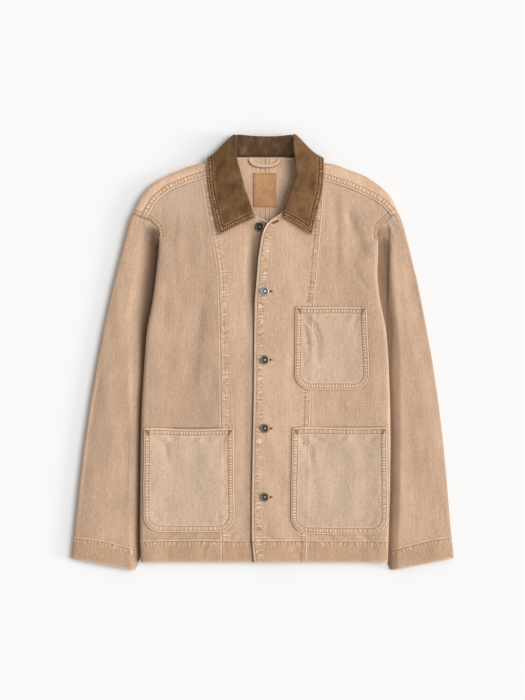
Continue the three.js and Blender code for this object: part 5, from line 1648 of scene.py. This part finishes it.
class JACKET_OT_stitching(bpy.types.Operator):
    """Lay the stitch rows, bar tacks and buttonhole threads on the cloth"""
    bl_idname = "jacket.stitching"
    bl_label = "Stitching"

    def execute(self, context):
        for side in SIDES:
            self.body(side)
        for name, shape in POCKETS.items():
            self.pocket(name, shape)
        self.collar()
        self.neckline()
        self.buttonholes()
        (left, right), (low, high), rim = LABEL_X, LABEL_Y, 2.0
        box = [(left + rim, low + rim), (right - rim, low + rim), (right - rim, high - rim),
               (left + rim, high - rim), (left + rim, low + rim)]
        laid_stitches("label_stitches", surface("neck_label_patch")(box, lift=0.05, pitch=1.0), "thread_tan",
                      "label", Length=0.0019, Pitch=0.0026, Thickness=0.0005)
        return {"FINISHED"}

    def body(self, side):
        """The rows of the hems, panel seams, shoulder, armhole and front edge on one side."""
        way = SIGN[side]
        side_front, centre, back, sleeve = (surface(f"{name}_cloth_{side}") for name in (
            "side_front", "centre_front", "back", "sleeve"))
        front = surface(f"side_front_cloth_{side}", f"centre_front_cloth_{side}")
        first, last = 22 if side == "right" else 20, body_edge(side, HEM_LINE_Y) - 1.5
        lines = front(np.array([(-way * first, HEM_LINE_Y), (way * last, HEM_LINE_Y)]))
        for distance in (1.6, 9.2):
            lines += centre(offset_line(seam_line(side), way * distance))
        for distance in (3.4, 11.6):
            lines += back(offset_line(shoulder_line(side), way * distance))
        for distance in (1.8, 7.8):
            arm = offset_line(armhole_line(side), way * distance)
            lines += side_front(arm[:30]) + back(arm[18:])
        lines += sleeve(cuff_line(side)) + sleeve(cuff_line(side), under=True)
        lines += back(np.array([(way * 5, HEM_LINE_Y), (way * 165, HEM_LINE_Y)]), under=True)
        if side == "left":
            lines += centre(offset_line(front_edge_line(), -5.2))
        laid_stitches(f"body_stitches_{side}", lines, "thread_tan", "denim")

    def pocket(self, name, shape):
        """Two rows round a pocket and across its mouth, and a bar tack at each upper corner."""
        pocket = surface(f"{name}_cloth")
        lines = pocket(pocket_outline(name, 2.4)) + pocket(pocket_outline(name, 10.4))
        (left, right), top = shape["mouth"], shape["top"] - shape["dip"] * 0.6
        for drop in (3.6, 10.8):
            across = steps_of(left + 2, right - 2, 5)
            lines += pocket(np.stack(wavy(across, top - drop + 0 * across), 1))
        laid_stitches(f"{name}_stitches", lines, "thread_tan", "pocket_denim")
        tacks = []
        for corner, inwards in ((left, 1), (right, -1)):
            tacks += pocket(zigzag((corner + inwards * 2.2, top - 2.6), (inwards * 0.55, -1), 11,
                                   (inwards, 0), 7.5, 9), pitch=0.8, lift=0.3)
        laid_stitches(f"{name}_bar_tacks", tacks, "thread_tan", "pocket_denim", Pitch=0.0012,
                      Length=0.0015, Thickness=0.0009)

    def collar(self):
        """Rows round the collar's ends and outer edge, with ticks of thread over its rim."""
        grid = lifted_collar()[0]
        from_neck, from_edge, from_start, from_end = collar_marks(grid)
        top = grid + upwards(grid) * (CORDUROY / 2 + 0.15)

        def at(inset, reach, line):
            """The place on a line of the collar where the reach from an edge is the inset."""
            if reach[0] > reach[-1]:
                reach, line = reach[::-1], line[::-1]
            return [np.interp(inset, reach, line[:, a]) for a in range(3)]
        row = dict(Length=0.0026, Thickness=0.0009)
        for name, inset, thread, values in (
                ("inner", 9.2, "thread_collar", row), ("outer", 3.2, "thread_collar", row),
                ("ticks", 6.2, "thread_ticks", dict(Length=0.0052, Pitch=0.0041, Thickness=0.0013,
                                                    Turn=math.radians(80), Unevenness=0.5)),
                ("rim", 1.3, "thread_ticks", dict(Length=0.0034, Pitch=0.0039, Thickness=0.0014,
                                                  Turn=math.radians(70), Unevenness=0.5))):
            fall = [j for j in range(FALL_COLUMN, grid.shape[1]) if from_edge[8, j] > inset]
            ends = np.minimum(from_start, from_end)[:, -3]
            lines = [[at(inset, from_start[:, j], top[:, j]) for j in fall],
                     [at(inset, from_edge[i], top[i]) for i in range(len(grid)) if ends[i] > inset],
                     [at(inset, from_end[:, j], top[:, j]) for j in fall]]
            laid_stitches(f"collar_stitches_{name}", map(np.array, lines), thread, "corduroy", **values)
        stand = [np.array([at(up, from_neck[i], top[i]) for i in range(6, len(grid) - 6)])
                 for up in (2.4, 5.2)]
        laid_stitches("stand_stitches", stand, "thread_collar", "corduroy", Pitch=0.0052, Length=0.0034,
                      Thickness=0.001, Turn=math.radians(80), Unevenness=0.5)

    def neckline(self):
        """Rubbed rims beside the loop in the back neck seam and along both fronts' necklines."""
        back = surface("back_cloth_right", "back_cloth_left")
        rims = back([(-45, 358.8), (-20, 358.4)], 0.35) + back([(29, 358.4), (53, 358.8)], 0.35)
        for side, start, end in (("right", 237, 255), ("left", 226, 262)):
            height = np.linspace(start, end, 30)
            line = offset_line(np.stack([_front[side](height), height], 1), -SIGN[side])
            rims += surface(f"centre_front_cloth_{side}")(line, 0.1, pitch=1.0)
        laid_stitches("neckline_rims", rims, "thread_cream", "denim", Pitch=0.0015, Length=0.0036,
                      Thickness=0.0019, Unevenness=0.15)

    def buttonholes(self):
        """Thread worked round each buttonhole, and the slit inside it."""
        centre = surface("centre_front_cloth_left")
        holes = [*[((9.5, y), 18.0, 1.5, 0.0) for y in BUTTON_HEIGHTS],
                 ((24.0, 241.5), 14.0, 1.4, math.radians(24))]
        worked, slits = [], []
        for middle, length, half, lean in holes:
            worked += centre(oval(middle, length, half, lean, 40), lift=0.25, pitch=0.9)
            slits += centre(oval(middle, length - 3, 0.25, lean), lift=0.2, pitch=1.2)
        laid_stitches("buttonhole_threads", worked, "thread_tan", "denim", Pitch=0.0009, Length=0.0026,
                      Thickness=0.0009, Turn=math.pi / 2)
        laid_stitches("buttonhole_slits", slits, "buttonhole_shadow", "denim", Pitch=0.002, Length=0.004,
                      Thickness=0.0007)


class JACKET_OT_stage(bpy.types.Operator):
    """Make the floor, the soft light and the camera overhead"""
    bl_idname = "jacket.stage"
    bl_label = "Stage"

    def execute(self, context):
        scene, stage, reach = context.scene, context.scene.jacket_stage, 40.0
        mesh = bpy.data.meshes.new("floor")
        mesh.from_pydata([(x * reach, y * reach, -0.001) for x, y in ((-1, -1), (1, -1), (1, 1), (-1, 1))],
                         [], [(0, 1, 2, 3)])
        floor = linked(bpy.data.objects.new("floor", mesh))
        _, shader, _ = new_material("pale_floor")
        for name, value in (("Base Color", (0.9, 0.9, 0.9, 1)), ("Roughness", 1.0),
                            ("Specular IOR Level", 0.0)):
            shader.inputs[name].default_value = value
        mesh.materials.append(bpy.data.materials["pale_floor"])

        scene.world = bpy.data.worlds.new("soft_fill")
        scene.world.use_nodes = True
        back = scene.world.node_tree.nodes["Background"]
        back.inputs["Color"].default_value = (1, 1, 1, 1)
        back.inputs["Strength"].default_value = stage.sky_strength
        for name, power, softness, turn, rise in (
                ("window_light", stage.sun_strength, stage.sun_softness, math.radians(14), stage.sun_height),
                ("low_light", stage.low_strength, math.radians(16), math.radians(-6), math.radians(16))):
            light = bpy.data.lights.new(name, "SUN")
            light.energy, light.angle = power, softness
            lamp = linked(bpy.data.objects.new(name, light))
            way = Vector((math.cos(turn) * math.cos(rise), math.sin(turn) * math.cos(rise), math.sin(rise)))
            lamp.rotation_mode = "QUATERNION"
            lamp.rotation_quaternion = (-way).to_track_quat("-Z", "Y")

        data = bpy.data.cameras.new("overhead")
        data.lens, data.sensor_width = 85.0, 36.0
        data.clip_start, data.clip_end = 0.05, 100.0
        scene.camera = linked(bpy.data.objects.new("overhead", data))
        scene.camera.location = (0.0, 0.0051, stage.camera_height)
        scene.view_settings.view_transform = "Standard"
        return {"FINISHED"}


OPERATORS = (JACKET_OT_stage, JACKET_OT_backs, JACKET_OT_fronts, JACKET_OT_sleeves, JACKET_OT_collar,
             JACKET_OT_pockets, JACKET_OT_neck, JACKET_OT_buttons, JACKET_OT_stitching)


class JACKET_PT_panel(bpy.types.Panel):
    """The jacket's pieces and settings"""
    bl_idname = "JACKET_PT_panel"
    bl_label = "Jacket"
    bl_space_type = "VIEW_3D"
    bl_region_type = "UI"
    bl_category = "Jacket"

    def draw(self, context):
        for kind in OPERATORS:
            self.layout.operator(kind.bl_idname)
        for settings in (context.scene.jacket_cloth, context.scene.jacket_stage):
            for name in settings.__annotations__:
                self.layout.prop(settings, name)


CLASSES = (JacketCloth, JacketStage, *OPERATORS, JACKET_PT_panel)


def register():
    for kind in CLASSES:
        bpy.utils.register_class(kind)
    bpy.types.Scene.jacket_cloth = bpy.props.PointerProperty(type=JacketCloth)
    bpy.types.Scene.jacket_stage = bpy.props.PointerProperty(type=JacketStage)


def unregister():
    del bpy.types.Scene.jacket_stage
    del bpy.types.Scene.jacket_cloth
    for kind in reversed(CLASSES):
        bpy.utils.unregister_class(kind)


def main():
    register()
    for kind in OPERATORS:
        group, name = kind.bl_idname.split(".")
        getattr(getattr(bpy.ops, group), name)()


if __name__ == "__main__":
    main()
